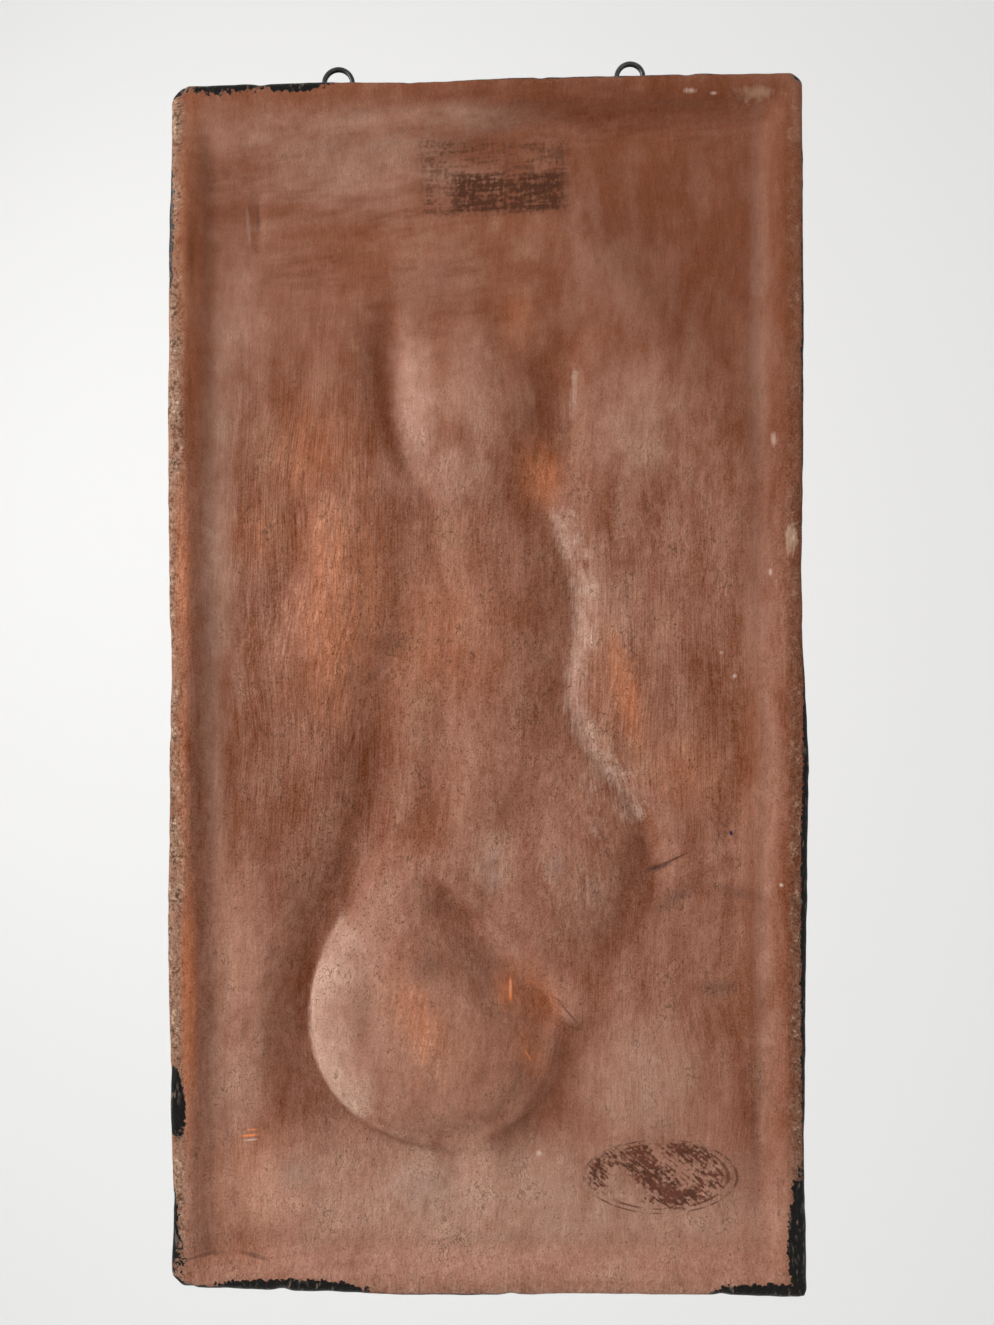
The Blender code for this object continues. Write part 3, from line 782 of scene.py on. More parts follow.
def edge_layers(x, y, z, on_front):
    """Where the edges are painted black or worn, and where the clay is bare."""
    past_side = HALF_WIDTH - np.abs(x)
    past_end = HALF_HEIGHT - np.abs(z)
    from_edge = np.minimum(past_side, past_end)
    on_side = (from_edge < EDGE_ROUND) | (y > WALL_PLANE - STEP)
    past_edge = EDGE_ROUND * np.where(x < -LEFT_EDGE * SLAB_WIDTH, PAINT_START_LEFT, PAINT_START)
    behind_edge = smooth_step((y - FRONT_PLANE - past_edge) / PAINT_FADE) * on_side
    in_hollow = (from_edge > WALL - STEP) & (y > WALL_PLANE - HOLLOW_DEPTH - 2 * STEP)
    black = np.maximum(patch_layer(x, z, BLACK_SPILLS) * on_front, behind_edge)
    black = np.where(in_hollow, 0, np.where(y > WALL_PLANE - BACK_BAND, BACK_BLACK, black))

    near_corner = smooth_step((np.abs(x) - CORNER_WEAR_START) / CORNER_WEAR_RUN)
    right_wear = RIGHT_WEAR + RIGHT_WEAR_MORE * smooth_step(-z / RIGHT_WEAR_RUN)
    side_wear = np.where(x < 0, 1.0, right_wear)
    top_wear = np.where(x < 0, near_corner * TOP_WEAR_LEFT, TOP_WEAR_RIGHT)
    end_wear = np.where(z > 0, top_wear, FOOT_WEAR * (1 + near_corner))
    near_side = smooth_step((SIDE_WEAR_WIDTH - past_side) / WEAR_FADE) * side_wear
    near_end = smooth_step((END_WEAR_WIDTH - past_end) / WEAR_FADE) * end_wear
    return [black, np.maximum(near_side, near_end) * on_front, np.where(in_hollow, 1.0, 0.0)]


def form_layers(x, z):
    """Where the front is hollow, and where it stands proud inside the rim."""
    inner_x = np.clip(x, RIM_WIDTH - HALF_WIDTH, HALF_WIDTH - RIM_WIDTH)
    inner_z = np.clip(z, RIM_WIDTH - HALF_HEIGHT, HALF_HEIGHT - RIM_WIDTH)
    curl = hollowness(inner_x, inner_z, CURL_REACH)
    from_edge = np.minimum(HALF_WIDTH - np.abs(x), HALF_HEIGHT - np.abs(z))
    inside = smooth_step((from_edge - INSIDE_START) / INSIDE_RUN)
    inside = np.where(z < SILL_FROM, SILL_GAIN, inside)
    return np.clip(curl * HOLLOW_GAIN, 0, 1), np.clip(-curl * PROUD_GAIN, 0, 1) * inside


def paint_layers(slab):
    """Works out where the surface is stained, worn, painted and pitted, and where shade and highlight are
    painted on it.
    """
    places = vertex_places(slab.data)
    x, y, z = places[:, 0], places[:, 1], places[:, 2] - SLAB_MIDDLE
    on_front = smooth_step((FRONT_PLANE + FRONT_END - y) / FRONT_FADE)
    hollow, proud = form_layers(x, z)
    coarse = smooth_step((COARSE_BELOW - z) / COARSE_RUN)
    rough_here = (SMOOTH_TOP + (1 - SMOOTH_TOP) * coarse) * (1 - patch_layer(x, z, SMOOTHED))
    layers = {
        # Orange wear; dark wash with painted shade; pale wear with painted highlight
        "stain_and_painted_light": [
            patch_layer(x, z, ORANGE_WEAR) * on_front,
            np.maximum(patch_layer(x, z, DARK_WASH_AND_SHADE), streak_layer(x, z, PAINTED_SHADE_LINES)) * on_front,
            np.maximum(patch_layer(x, z, PALE_WEAR_AND_HIGHLIGHT), streak_layer(x, z, PAINTED_HIGHLIGHT_LINES)) * on_front,
        ],
        "edge": edge_layers(x, y, z, on_front),
        "brush": [
            patch_layer(x, z, BRUSHED) * on_front,
            patch_layer(x, z, SWEPT) * on_front,
            streak_layer(x, z, CHALK_AND_HIGHLIGHT) * on_front,
        ],
        "form": [hollow * on_front, proud * on_front, patch_layer(x, z, PITTED) * on_front],
        "marks": [
            patch_layer(x, z, SCRATCHED) * on_front,
            patch_layer(x, z, GREYED) * on_front,
            rough_here,
        ],
    }
    for name, channels in layers.items():
        write_layer(slab.data, name, channels)


# Colours of the washes, the wear, the marks and the wire, and of the painted shade and painted highlight
BROWN = (0.216, 0.073, 0.036, 1)
PINK = (0.345, 0.155, 0.104, 1)
# Dark wash, also the colour of the painted shade in hollows, troughs and on shaded slopes
WASH_AND_SHADE_DARK = (0.148, 0.040, 0.015, 1)
# Pale wear, also the colour of the painted highlight on ridges and lit slopes
WEAR_AND_HIGHLIGHT_PALE = (0.488, 0.298, 0.222, 1)
ORANGE = (0.470, 0.154, 0.066, 1)
SPECK = (0.105, 0.038, 0.018, 1)
RIM_DARK = (0.070, 0.037, 0.022, 1)
RIM_TAUPE = (0.300, 0.178, 0.118, 1)
RIM_FLECK = (0.620, 0.440, 0.310, 1)
PAINT_BLACK = (0.003, 0.0025, 0.002, 1)
SCUFFED = (0.230, 0.170, 0.130, 1)
MARK_BROWN = (0.066, 0.020, 0.008, 1)
MARK_RED = (0.110, 0.030, 0.016, 1)
BARE_CLAY = (0.430, 0.185, 0.095, 1)
BARE_SHADE = (0.300, 0.120, 0.060, 1)
BRIGHT_ORANGE = (0.900, 0.250, 0.070, 1)
SMUDGE = (0.060, 0.026, 0.017, 1)
GREY_SMUDGE = (0.250, 0.190, 0.165, 1)
INK = (0.008, 0.009, 0.040, 1)
CHALK = (0.560, 0.400, 0.325, 1)
ORANGE_SCRATCH = (0.620, 0.300, 0.180, 1)
HAIRLINE = (0.060, 0.024, 0.012, 1)
GREYED_WASH = (0.312, 0.166, 0.118, 1)
OLIVE = (0.274, 0.129, 0.070, 1)
WIRE_BLACK = (0.010, 0.010, 0.011, 1)
WIRE_DUST = (0.050, 0.048, 0.046, 1)

# Noises: waves to a metre, detail, roughness
SWAY = (16, 0, 0.5)
CLOUDS = (24, 2, 0.6)
BLOTS = (85, 3, 0.65)
SWATHS = (90, 2, 0.65)
LYING_STROKES = (190, 3, 0.62)
BRUSH_STROKES = (320, 2, 0.6)
MOTTLE = (380, 1, 0.6)
CRUMBS = (620, 1, 0.65)
SLANTED_HAIRS = (950, 1, 0.6)
HAIRS = (1150, 1, 0.6)
GRIT = (1250, 1, 0.7)
PITS = (1050, 0, 0.5)
SCUFFS = (700, 1, 0.7)
LEVEL_SMEARS = (650, 1, 0.65)
UPRIGHT_SMEARS = (750, 1, 0.65)
BROKEN_RINGS = (150, 1, 0.6)
SCRIBBLE = (900, 1, 0.7)
WIRE_SCRATCHES = (900, 3, 0.6)
WIRE_DUSTING = (350, 3, 0.6)

# How far each noise lightens and darkens the clay
HAIR_TONE = 0.42
STROKE_TONE = 0.18
GRIT_TONE = 0.60
MOTTLE_TONE = 0.34
TICK_TONE = 0.10
BLOT_TONE = 0.26
SWATH_TONE = 0.22
TONE_LIFT = 0.11

# Where the noise leaves a pit, how much more of them the pitted places have, and how dark they are
PIT_RANGE = (0.775, 0.815)
PIT_GAIN = 0.09
PIT_DARKNESS = 0.7

# Between these the black paint ends in a torn edge
TORN_RANGE = (0.46, 0.54)

# How far the brush sways, how high the surface stands up, and how dull and shiny it is
SWAY_WIDTH = 0.012
BUMP_STRENGTH = 0.75
BUMP_HEIGHT = 0.0006
COMB_HEIGHT = 0.4
STROKE_HEIGHT = 0.5
GRIT_HEIGHT = 0.8
CLAY_ROUGHNESS = (0.62, 0.80)
PAINT_ROUGHNESS = 0.40
CLAY_SHINE = 0.16

# Short strokes of colour: across, up, half width, half length, turn to the left, strength, colour.
# Those wider both ways than a broad stroke are broken up
BROAD_STROKE = 1.0
STROKES = (
    (10.3, -126.5, 0.8, 5, 0, 1, BRIGHT_ORANGE),
    (10.2, -126, 0.35, 3.6, 0, 0.9, CHALK),
    (8, -127, 5, 9, 8, 0.22, BRIGHT_ORANGE),
    (17.5, -153, 0.5, 3.4, 26, 0.45, BRIGHT_ORANGE),
    (-98, -185.6, 2.6, 0.40, 6, 0.6, BRIGHT_ORANGE),
    (-99, -188, 4.2, 0.55, 6, 0.8, BRIGHT_ORANGE),
    (-98.5, -189.8, 3.4, 0.50, 6, 0.75, CHALK),
    (101.6, -61.5, 0.8, 1.3, 6, 0.95, INK),
    (22, -195, 1.4, 1.2, 0, 0.8, CHALK),
    (103.2, 3.3, 1, 1, 0, 0.7, CHALK),
    (98, 13, 0.8, 0.8, 0, 0.5, CHALK),
    (112, 241.5, 9, 2.6, 0, 0.22, RIM_FLECK),
    (85, 242.5, 3, 1.2, 0, 0.62, CHALK),
    (94.5, 241.5, 1.6, 0.7, 0, 0.5, CHALK),
    (34.5, -136.5, 0.5, 7, 42, 0.65, SMUDGE),
    (30.2, -131.4, 0.4, 3.6, 62, 0.5, SMUDGE),
    # Painted shade along the tool dent and a painted highlight on its left lip
    (-98.6, 192, 0.9, 10, 4, 0.16, CHALK),
    (-94.6, 195, 1.2, 7, 0, 0.55, SMUDGE),
    (78, -72.5, 8, 0.5, 27, 0.75, SMUDGE),
    (71.5, -76, 5, 1.3, 18, 1, SMUDGE),
    (74, -75.6, 8, 0.35, 34, 0.5, SMUDGE),
    (78, -89, 13, 3.4, 31, 0.40, SMUDGE),
    (104, -86, 14, 3.2, -13, 0.30, SMUDGE),
    (95.5, -125.5, 10, 4.6, 6, 0.40, SMUDGE),
    (119, 100, 1.2, 3.2, 4, 0.45, CHALK),
    (125, 59, 2.6, 6, 0, 0.55, RIM_FLECK),
    (117.6, 46, 0.7, 1.6, 0, 0.6, CHALK),
    (121, -82, 0.8, 0.9, 0, 0.7, CHALK),
    (-39, 17, 9, 5, 10, 0.30, SMUDGE),
    (-47, 4, 10, 1.8, 42, 0.28, SMUDGE),
    (3, -78, 4.5, 12, 0, 0.26, GREY_SMUDGE),
    (29.6, -74, 3.5, 8, 0, 0.22, GREY_SMUDGE),
    (-25, -116, 9, 7, 20, 0.30, SMUDGE),
    (-50.5, -134, 5, 18, -2, 0.30, SMUDGE),
    (-24, -209, 16, 12, 0, 0.30, GREY_SMUDGE),
    (-80, -203, 9, 9, 0, 0.30, GREY_SMUDGE),
    (-118, -236, 9, 0.8, 4, 0.45, SMUDGE),
    (-96, -236.5, 7, 0.9, -12, 0.50, SMUDGE),
)

# Place of the rectangle that a label left, and of the rubbed oval, across and up, with their half sizes
LABEL_GHOST = (4.5, 210.5, 33, 17)
LABEL_DARK = (10.5, 204.5, 25.5, 9)
RUBBED_OVAL = (72, -203.3, 32, 15.6)

# Thin rings round the oval: how far out, 1 at its edge, and half width
OVAL_RINGS = ((0.985, 0.026), (0.87, 0.034))

# Ragged blotches left inside the oval: across, up, half width, half height, turn to the left, fullness
OVAL_BLOTCHES = (
    (45.5, -202, 6, 12, -10, 0.75), (51, -195, 4, 7, 50, 0.70), (69, -203, 22, 9, -38, 0.80),
    (64, -193.5, 7, 6, 0, 0.72), (85, -194, 15, 7, -6, 0.72), (80, -212, 16, 5, 8, 0.90),
    (92, -203, 12, 10, 10, 0.48),
)


# Finishes. Each step is added to the finish that its inputs belong to

def add(kind, inputs, **settings):
    """Adds one node, with its settings, values and links."""
    inputs = dict(inputs)
    tree = next(value.id_data for value in inputs.values() if isinstance(value, bpy.types.NodeSocket))
    node = tree.nodes.new(kind)
    for setting, value in settings.items():
        setattr(node, setting, value)
    for socket, value in inputs.items():
        if isinstance(value, bpy.types.NodeSocket):
            tree.links.new(value, node.inputs[socket])
        else:
            node.inputs[socket].default_value = value
    return node


def math_node(operation, *values, clamp=False):
    """A sum, product or other step on numbers."""
    return add("ShaderNodeMath", enumerate(values), operation=operation, use_clamp=clamp).outputs[0]


def noise(place, scale, detail, roughness):
    """Soft noise, from 0 to 1, whose scale is in waves to a metre."""
    values = {"Vector": place, "Scale": scale, "Detail": detail, "Roughness": roughness}
    return add("ShaderNodeTexNoise", values).outputs["Fac"]


def spread_out(value, low, high, new_low=0.0, new_high=1.0):
    """Stretches one range of a value to another, and holds it there."""
    values = {"Value": value, "From Min": low, "From Max": high, "To Min": new_low, "To Max": new_high}
    return add("ShaderNodeMapRange", values, clamp=True).outputs["Result"]


def coat(below, above, share, way="MIX", clamp=False):
    """Lays one colour over another."""
    settings = {"data_type": "RGBA", "blend_type": way, "clamp_result": clamp}
    return add("ShaderNodeMix", {0: share, 6: below, 7: above}, **settings).outputs[2]


def between(share, first, second):
    """A number between two others."""
    return add("ShaderNodeMix", {0: share, 2: first, 3: second}, data_type="FLOAT").outputs[0]


def mapped(place, centre=(0, 0, 0), turn=0.0, size=(1, 1, 1)):
    """Centres a pattern, turns it in degrees to the left as seen from the front, and stretches it."""
    values = {"Vector": place, "Location": centre, "Rotation": (0, -math.radians(turn), 0), "Scale": size}
    return add("ShaderNodeMapping", values, vector_type="TEXTURE").outputs[0]


def product(*shares):
    """Several shares multiplied together."""
    total = shares[0]
    for share in shares[1:]:
        total = math_node("MULTIPLY", total, share)
    return total


def total_of(*values):
    """Several values added up."""
    total = values[0]
    for value in values[1:]:
        total = math_node("ADD", total, value)
    return total


def swing(value, amount):
    """A noise made to swing round 0."""
    return math_node("MULTIPLY", math_node("SUBTRACT", value, 0.5), amount)


def layer(tree, name):
    """The three channels of a layer kept in the mesh."""
    kept = tree.nodes.new("ShaderNodeAttribute")
    kept.attribute_name = name
    split = add("ShaderNodeSeparateColor", {"Color": kept.outputs["Color"]})
    return [split.outputs[n] for n in range(3)]


def new_finish(name):
    """An empty finish, with its shader and the place on the piece."""
    finish = bpy.data.materials.new(name)
    finish.use_nodes = True
    tree = finish.node_tree
    place = tree.nodes.new("ShaderNodeTexCoord").outputs["Object"]
    return finish, tree, tree.nodes["Principled BSDF"], place


def box_mask(place, shape, soft):
    """A soft-edged rectangle on the front."""
    across, up, half_width, half_height = (v * STEP for v in shape)
    moved = mapped(place, (across, 0, SLAB_MIDDLE + up), size=(half_width, 1, half_height))
    parts = add("ShaderNodeSeparateXYZ", {"Vector": moved}).outputs
    far_x, far_z = (math_node("ABSOLUTE", parts[axis]) for axis in "XZ")
    return spread_out(math_node("MAXIMUM", far_x, far_z), 1.0, 1.0 - soft)


def oval_reach(place, shape, turn=0.0):
    """How far out a place lies in an oval on the front, 1 at its edge."""
    across, up, half_width, half_height = (v * STEP for v in shape)
    moved = mapped(place, (across, 0, SLAB_MIDDLE + up), turn, (half_width, 1, half_height))
    flat = add("ShaderNodeVectorMath", {0: moved, 1: (1, 0, 1)}, operation="MULTIPLY").outputs[0]
    return add("ShaderNodeVectorMath", {0: flat}, operation="LENGTH").outputs["Value"]


def ring_line(reach, middle, half_width):
    """A thin line round an oval, or along one height of a noise."""
    off = math_node("ABSOLUTE", math_node("SUBTRACT", reach, middle))
    return spread_out(off, half_width, half_width * 0.4)


def front_only(place):
    """1 on the front face and 0 behind it."""
    depth = add("ShaderNodeSeparateXYZ", {"Vector": place}).outputs["Y"]
    return spread_out(depth, FRONT_PLANE + FACING_END, FRONT_PLANE + FACING_FULL)


def lay_label(colour, place, facing, crumbs):
    """The rectangle where a label was rubbed off, in smeared brown."""
    level = noise(mapped(place, turn=3, size=(9, 1, 1)), *LEVEL_SMEARS)
    upright = noise(mapped(place, size=(1, 1, 7)), *UPRIGHT_SMEARS)
    woven = total_of(swing(level, 0.9), swing(upright, 0.6), swing(crumbs, 0.9))
    ghost = product(box_mask(place, LABEL_GHOST, 0.14), spread_out(woven, -0.08, 0.20, 0.10, 0.62), facing)
    dark = product(box_mask(place, LABEL_DARK, 0.20), spread_out(woven, -0.26, 0.08, 0.15, 0.95), facing)
    return coat(coat(colour, MARK_BROWN, ghost), MARK_BROWN, dark)


def lay_oval(colour, place, facing, crumbs):
    """The rubbed oval, with its thin rings and the scribbled blotches inside."""
    reach = oval_reach(place, RUBBED_OVAL)
    broken = noise(place, *BROKEN_RINGS)
    rings = math_node("MAXIMUM", *[ring_line(reach, *ring) for ring in OVAL_RINGS])
    share = product(rings, spread_out(broken, 0.42, 0.58, 0.05, 0.7), facing)
    colour = coat(colour, MARK_BROWN, share)

    scribble = noise(mapped(place, turn=-38, size=(4, 1, 1)), *SCRIBBLE)
    ragged = total_of(swing(scribble, 2.4), swing(crumbs, 2.2), swing(broken, 0.9))
    filled = None
    for *oval, turn, fullness in OVAL_BLOTCHES:
        share = spread_out(oval_reach(place, oval, turn), 1.3, 0.4, -0.5, fullness)
        filled = math_node("MAXIMUM", filled, share) if filled else share
    share = spread_out(total_of(filled, ragged), 0.20, 0.85, 0.0, 0.92)
    paint = coat(MARK_BROWN, MARK_RED, spread_out(broken, 0.48, 0.60))
    return coat(colour, paint, product(share, spread_out(reach, 1.0, 0.93), facing))


def lay_strokes(colour, place, facing, ragged):
    """Single scratches, dots and smudges; the wide ones are broken up."""
    for *oval, turn, strength, paint in STROKES:
        reach = oval_reach(place, oval, turn)
        if min(oval[2:]) > BROAD_STROKE:
            share = spread_out(math_node("SUBTRACT", reach, ragged), 1.15, 0.15, 0, strength)
        else:
            share = spread_out(reach, 1.1, 0.5, 0, strength)
        colour = coat(colour, paint, product(share, facing))
    return colour


def clay_grain(place, swept):
    """The noises that all layers of the clay share, with brush marks that sway on their way down."""
    aside = add("ShaderNodeCombineXYZ", {"X": product(noise(place, *SWAY), SWAY_WIDTH)}).outputs[0]
    swayed = add("ShaderNodeVectorMath", {0: place, 1: aside}, operation="ADD").outputs[0]
    upright = mapped(swayed, size=(1, 1, 18))
    clouds = noise(mapped(place, size=(1, 1, 1.6)), *CLOUDS)
    straight = noise(upright, *HAIRS)
    slanted = noise(mapped(place, turn=-13, size=(1, 1, 16)), *SLANTED_HAIRS)
    standing_swaths = noise(mapped(swayed, turn=-4, size=(1, 1, 3)), *SWATHS)
    lying_swaths = noise(mapped(swayed, turn=7, size=(4, 1, 1)), *SWATHS)
    return SimpleNamespace(
        clouds=clouds,
        straight=straight,
        slanted=slanted,
        hairs=between(spread_out(clouds, 0.50, 0.58), straight, slanted),
        strokes=noise(upright, *BRUSH_STROKES),
        lying=noise(mapped(swayed, turn=5, size=(5, 1, 1)), *LYING_STROKES),
        swaths=between(swept, standing_swaths, lying_swaths),
        blots=noise(place, *BLOTS),
        mottle=noise(mapped(place, size=(1, 1, 1.7)), *MOTTLE),
        grit=noise(place, *GRIT),
        crumbs=noise(place, *CRUMBS),
    )


def brown_wash(place, grain, greyed):
    """The brushed brown wash, pinker towards the foot, with olive and grey blooms."""
    height = add("ShaderNodeSeparateXYZ", {"Vector": place}).outputs["Z"]
    low = spread_out(height, SLAB_TOP, SLAB_TOP - SLAB_HEIGHT, 0.10, 0.80)
    tint = total_of(low, swing(grain.clouds, 1.6), swing(grain.swaths, 1.6))
    colour = coat(BROWN, PINK, spread_out(tint, 0.0, 1.0))
    olive = spread_out(total_of(grain.blots, swing(grain.swaths, 1.0)), 0.5, 0.8, 0, 0.6)
    colour = coat(colour, OLIVE, olive)
    return coat(colour, GREYED_WASH, product(greyed, spread_out(grain.swaths, 0.40, 0.60, 0.1, 0.8)))


def lay_stains_and_painted_light(colour, grain, stain_and_painted_light, form, brush, scratched):
    """Dark wash and painted shade in the hollows; pale wear and painted highlight, and orange wear, on the
    ridges; chalk, partly a painted highlight at the waist; and slanted scratches.
    """
    orange, dark, pale = stain_and_painted_light
    hollow, proud, _ = form
    _, swept, chalk_and_highlight = brush
    uneven = total_of(0.9, swing(grain.blots, 1.5), product(swing(grain.lying, 2.4), swept))
    # Painted shade: darker in the hollows and along the troughs, together with the dark wash
    wash_and_shade_in_hollows = math_node("MAXIMUM", dark, product(hollow, 0.75))
    colour = coat(colour, WASH_AND_SHADE_DARK, math_node("MULTIPLY", wash_and_shade_in_hollows, uneven, clamp=True))
    colour = coat(colour, WASH_AND_SHADE_DARK, product(spread_out(grain.lying, 0.52, 0.66, 0.0, 0.5), swept))
    # Painted highlight: paler on the ridges and lit slopes, together with the pale wear
    wear_and_highlight_on_ridges = math_node("MAXIMUM", pale, product(proud, 0.55))
    colour = coat(colour, WEAR_AND_HIGHLIGHT_PALE, math_node("MULTIPLY", wear_and_highlight_on_ridges, uneven, clamp=True))
    rubbed = total_of(0.8, swing(grain.strokes, 1.6), swing(grain.blots, 1.0))
    colour = coat(colour, ORANGE, math_node("MULTIPLY", orange, rubbed, clamp=True))
    # Chalk, which at the upper waist is also a painted highlight
    chalk_and_highlight_noise = total_of(chalk_and_highlight, swing(grain.blots, 1.0), swing(grain.hairs, 0.7), swing(grain.mottle, 0.4))
    chalk_dust_and_highlight = product(spread_out(chalk_and_highlight_noise, 0.20, 1.25, 0.0, 0.66), spread_out(chalk_and_highlight, 0.02, 0.3))
    colour = coat(colour, CHALK, chalk_dust_and_highlight)
    scraped = total_of(grain.slanted, swing(grain.crumbs, 0.9))
    return coat(colour, ORANGE_SCRATCH, product(spread_out(scraped, 0.58, 0.76, 0.0, 0.5), scratched))


def texture_tone(colour, grain, brushed, rough_here, facing):
    """The fine lights and darks of brush hairs and grit, with hairline seams."""
    hair_tone = product(swing(grain.hairs, HAIR_TONE), total_of(0.3, product(brushed, 0.75)))
    fine = total_of(
        hair_tone,
        swing(grain.strokes, STROKE_TONE),
        swing(grain.grit, GRIT_TONE),
        swing(grain.mottle, MOTTLE_TONE),
        product(spread_out(grain.hairs, 0.64, 0.76), TICK_TONE),
        product(spread_out(grain.hairs, 0.36, 0.26), -TICK_TONE),
    )
    broad = total_of(swing(grain.blots, BLOT_TONE), swing(grain.swaths, SWATH_TONE))
    tone = total_of(product(fine, rough_here), broad)
    colour = coat(colour, total_of(tone, 1.0), 1.0, "MULTIPLY")
    colour = coat(colour, product(tone, TONE_LIFT), 1.0, "ADD", clamp=True)
    seams = product(ring_line(grain.mottle, 0.5, 0.03), spread_out(grain.blots, 0.50, 0.62, 0.0, 0.55))
    return coat(colour, HAIRLINE, product(seams, rough_here, facing))


def lay_rim(colour, grain, orange, dark, worn):
    """The worn rim, speckled with pale flecks, and darkened where the dark wash and painted shade lie on
    it.
    """
    speckled = total_of(grain.crumbs, swing(grain.mottle, 0.5), swing(grain.grit, 0.7))
    rim = coat(RIM_DARK, RIM_TAUPE, spread_out(speckled, 0.33, 0.47))
    # Painted shade: the dark channel also darkens the rim, down its right side away from the light
    rim = coat(rim, RIM_DARK, product(dark, 0.55))
    flecks = product(spread_out(speckled, 0.62, 0.74), spread_out(grain.blots, 0.40, 0.62, 0.2, 0.9))
    rim = coat(rim, RIM_FLECK, flecks)
    rubbed = spread_out(grain.blots, 0.36, 0.60, 0.40, 0.90)
    return coat(colour, rim, product(worn, rubbed, spread_out(orange, 0.2, 1.0, 1.0, 0.15)))


def black_paint(grain, place):
    """Black paint, scuffed in patches."""
    scuffs = spread_out(noise(mapped(place, size=(1, 1, 3)), *SCUFFS), 0.56, 0.70, 0.0, 0.85)
    return coat(PAINT_BLACK, SCUFFED, product(scuffs, spread_out(grain.blots, 0.46, 0.66, 0.04, 0.9)))


def clay_bump(grain, brushed, rough_here):
    """The small unevenness that the brush and the grit leave."""
    combed = product(grain.straight, total_of(COMB_HEIGHT, brushed))
    strokes, grit = product(grain.strokes, STROKE_HEIGHT), product(grain.grit, GRIT_HEIGHT)
    height = total_of(combed, strokes, grit, grain.mottle)
    values = {"Strength": product(rough_here, BUMP_STRENGTH), "Distance": BUMP_HEIGHT, "Height": height}
    return add("ShaderNodeBump", values).outputs[0]


def clay_finish():
    """Fired clay under a brushed brown wash, worn and stained, with painted shade and painted highlight on
    its relief and black paint on its sides.
    """
    finish, tree, shader, place = new_finish("washed_clay")
    stain_and_painted_light, edge, form, brush, marks = (
        layer(tree, name) for name in ("stain_and_painted_light", "edge", "form", "brush", "marks")
    )
    black, worn, bare = edge
    scratched, greyed, rough_here = marks
    grain = clay_grain(place, brush[1])
    facing = front_only(place)

    colour = brown_wash(place, grain, greyed)
    colour = lay_stains_and_painted_light(colour, grain, stain_and_painted_light, form, brush, scratched)
    colour = texture_tone(colour, grain, brush[0], rough_here, facing)
    colour = lay_label(colour, place, facing, grain.crumbs)
    colour = lay_oval(colour, place, facing, grain.crumbs)
    ragged = total_of(swing(grain.mottle, 1.2), swing(grain.strokes, 0.8), swing(grain.hairs, 0.8))
    colour = lay_strokes(colour, place, facing, ragged)
    colour = lay_rim(colour, grain, stain_and_painted_light[0], stain_and_painted_light[1], worn)
    pits = spread_out(total_of(noise(place, *PITS), product(form[2], PIT_GAIN)), *PIT_RANGE)
    colour = coat(colour, SPECK, product(pits, rough_here, PIT_DARKNESS))
    colour = coat(colour, coat(BARE_SHADE, BARE_CLAY, spread_out(grain.blots, 0.3, 0.7)), bare)
    torn = total_of(black, swing(grain.crumbs, 0.6), swing(grain.mottle, 0.5))
    painted = spread_out(torn, *TORN_RANGE)
    colour = coat(colour, black_paint(grain, place), painted)
    rough = between(painted, spread_out(grain.strokes, 0.3, 0.7, *CLAY_ROUGHNESS), PAINT_ROUGHNESS)

    tree.links.new(colour, shader.inputs["Base Color"])
    tree.links.new(rough, shader.inputs["Roughness"])
    tree.links.new(clay_bump(grain, brush[0], rough_here), shader.inputs["Normal"])
    shader.inputs["Specular IOR Level"].default_value = CLAY_SHINE
    return finish


def wire_finish():
    """Black wire, dulled by handling and rubbed bare where it hangs."""
    finish, tree, shader, place = new_finish("blackened_wire")
    scratches = noise(mapped(place, size=(1, 1, 3)), *WIRE_SCRATCHES)
    colour = coat(WIRE_BLACK, WIRE_DUST, spread_out(noise(place, *WIRE_DUSTING), 0.45, 0.7))
    bump = add("ShaderNodeBump", {"Strength": 0.25, "Distance": 0.0001, "Height": scratches})
    tree.links.new(colour, shader.inputs["Base Color"])
    tree.links.new(spread_out(scratches, 0.3, 0.7, 0.28, 0.48), shader.inputs["Roughness"])
    tree.links.new(bump.outputs[0], shader.inputs["Normal"])
    return finish


def plain_finish(name, colour, roughness):
    """A plain surface for what isn't part of the object."""
    finish = bpy.data.materials.new(name)
    finish.use_nodes = True
    shader = finish.node_tree.nodes["Principled BSDF"]
    shader.inputs["Base Color"].default_value = colour
    shader.inputs["Roughness"].default_value = roughness
    return finish


# Making the pieces

def make_sculpture():
    """The clay with its hollow back, and the two loops in their sockets."""
    left, left_legs = bent_wire("wire_loop_left", -1, LEFT_LOOP_WIDTH, LEFT_LOOP_SPREAD)
    right, right_legs = bent_wire("wire_loop_right", 1, RIGHT_LOOP_WIDTH, RIGHT_LOOP_SPREAD)
    slab = rolled_slab()
    pat_surface(slab, "broad_lumps", *BROAD_LUMPS)
    pat_surface(slab, "small_lumps", *SMALL_LUMPS)
    knock_chips(slab)
    take_out(slab, [hollow_tool()] + [socket_tool(across) for across in left_legs + right_legs])
    take(slab)
    bpy.ops.object.shade_smooth_by_angle(angle=math.radians(CLAY_SHARP_FROM))
    paint_layers(slab)
    clay, wire = clay_finish(), wire_finish()
    for piece, finish, node, slot in (
        (slab, clay, "relief_slab", "fired_clay"),
        (left, wire, "hanging_loop_left", "black_wire"),
        (right, wire, "hanging_loop_right", "black_wire"),
    ):
        piece.data.materials.clear()
        piece.data.materials.append(finish)
        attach(piece, "root")
        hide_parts(node)


# Studio

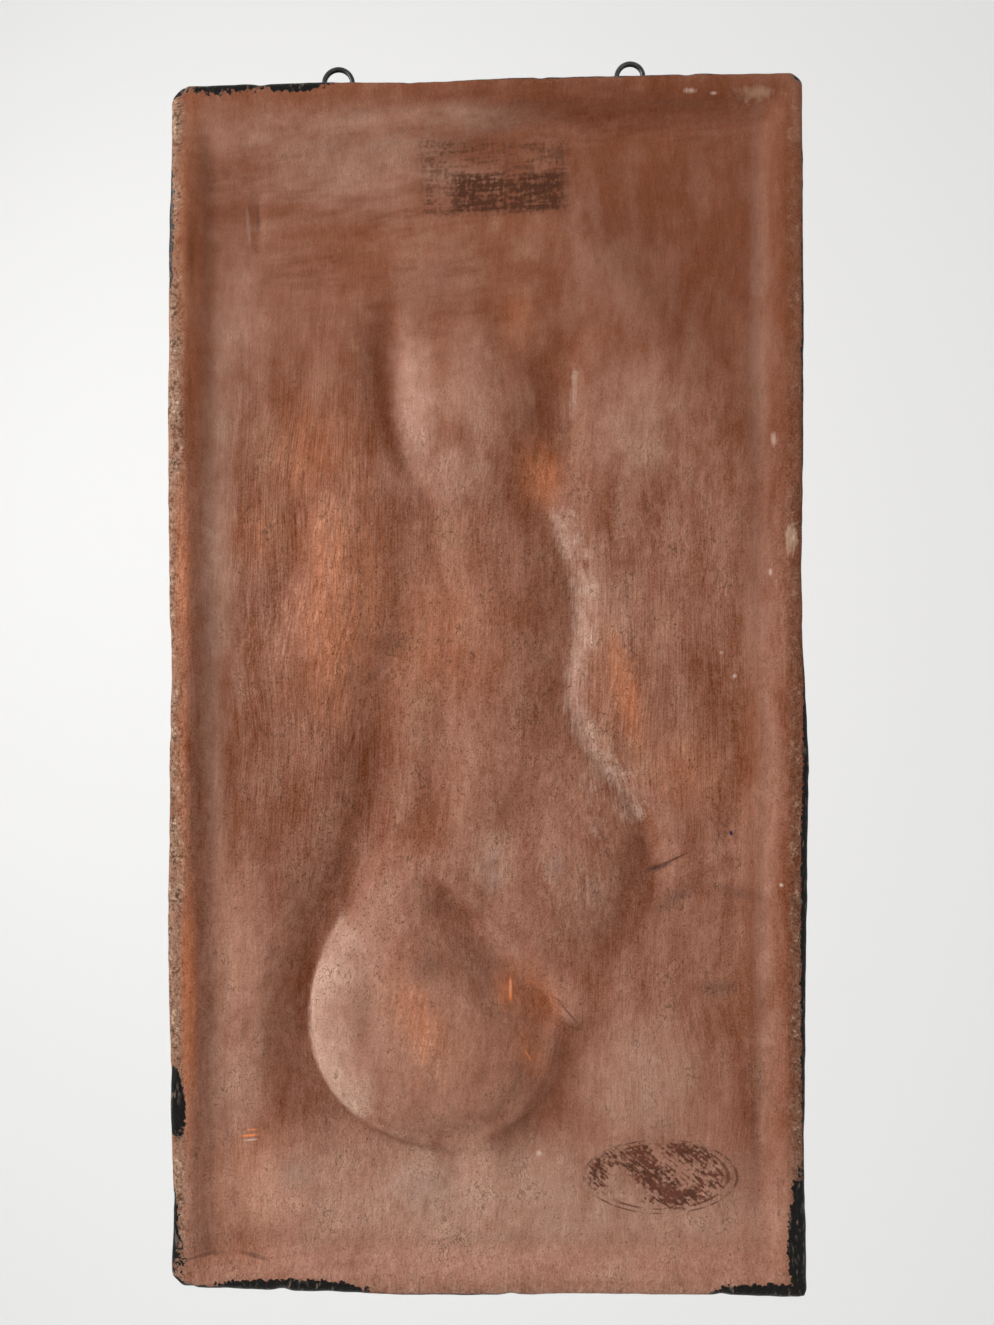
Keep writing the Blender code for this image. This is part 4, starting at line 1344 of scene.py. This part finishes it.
CAMERA_BACK = 0.3918
CAMERA_ACROSS = 0.0155
CAMERA_UP = 0.0078
CAMERA_YAW = 1.49
CAMERA_TILT = 0.20
CAMERA_ROLL = -0.18
LENS = 26.0
FILM = 36.0
BACKDROP_BACK = 1.3
FLOOR_BELOW = 1.55
STAGE_SIZE = 8
STAGE_PALE = (0.95, 0.955, 0.96, 1)
ROOM_COLOUR = (0.95, 0.945, 0.93, 1)
ROOM_STRENGTH = 0.62

# Lights: place from the middle of the slab, size, power, colour
LIGHTS = {
    "window": ((-1.30, -0.60, 0.60), 0.8, 22, (1.0, 0.985, 0.965)),
    "fill": ((0.9, -1.5, 0.3), 1.6, 5, (1.0, 0.97, 0.94)),
}


def set_camera():
    """The photograph's own view, nearly square on."""
    data = bpy.data.cameras.new("camera")
    data.sensor_fit = "VERTICAL"
    data.sensor_width = data.sensor_height = FILM
    data.lens = LENS
    camera = bpy.data.objects.new("camera", data)
    bpy.context.collection.objects.link(camera)
    turn = (
        Matrix.Rotation(math.radians(CAMERA_YAW), 4, "Z")
        @ Matrix.Rotation(math.radians(90 + CAMERA_TILT), 4, "X")
        @ Matrix.Rotation(math.radians(CAMERA_ROLL), 4, "Z")
    )
    camera.rotation_euler = turn.to_euler()
    camera.location = (CAMERA_ACROSS, FRONT_PLANE - CAMERA_BACK, SLAB_MIDDLE + CAMERA_UP)
    bpy.context.scene.camera = camera


def add_light(name, place, size, power, colour):
    """A square soft light that points at the sculpture."""
    data = bpy.data.lights.new(name, "AREA")
    data.size = size
    data.energy = power
    data.color = colour
    light = bpy.data.objects.new(name, data)
    bpy.context.collection.objects.link(light)
    light.location = Vector((0, 0, SLAB_MIDDLE)) + Vector(place)
    light.rotation_euler = (-Vector(place)).to_track_quat("-Z", "Y").to_euler()


def set_stage():
    """Pale backdrop and floor, soft light from the upper left."""
    pale = plain_finish("pale_stage", STAGE_PALE, 0.9)
    leave_all()
    bpy.ops.mesh.primitive_plane_add(size=STAGE_SIZE, location=(0, 0, SLAB_MIDDLE - FLOOR_BELOW))
    floor = bpy.context.object
    floor.name = "floor"
    leave_all()
    place, upright = (0, BACKDROP_BACK, SLAB_MIDDLE), (math.pi / 2, 0, 0)
    bpy.ops.mesh.primitive_plane_add(size=STAGE_SIZE, location=place, rotation=upright)
    backdrop = bpy.context.object
    backdrop.name = "backdrop"
    for piece in (floor, backdrop):
        piece.data.materials.append(pale)
    for name, values in LIGHTS.items():
        add_light(name, *values)
    world = bpy.data.worlds.new("studio")
    world.use_nodes = True
    room = world.node_tree.nodes["Background"].inputs
    room["Color"].default_value = ROOM_COLOUR
    room["Strength"].default_value = ROOM_STRENGTH
    bpy.context.scene.world = world
    bpy.context.scene.view_settings.view_transform = "Standard"


set_camera()
make_sculpture()
set_stage()
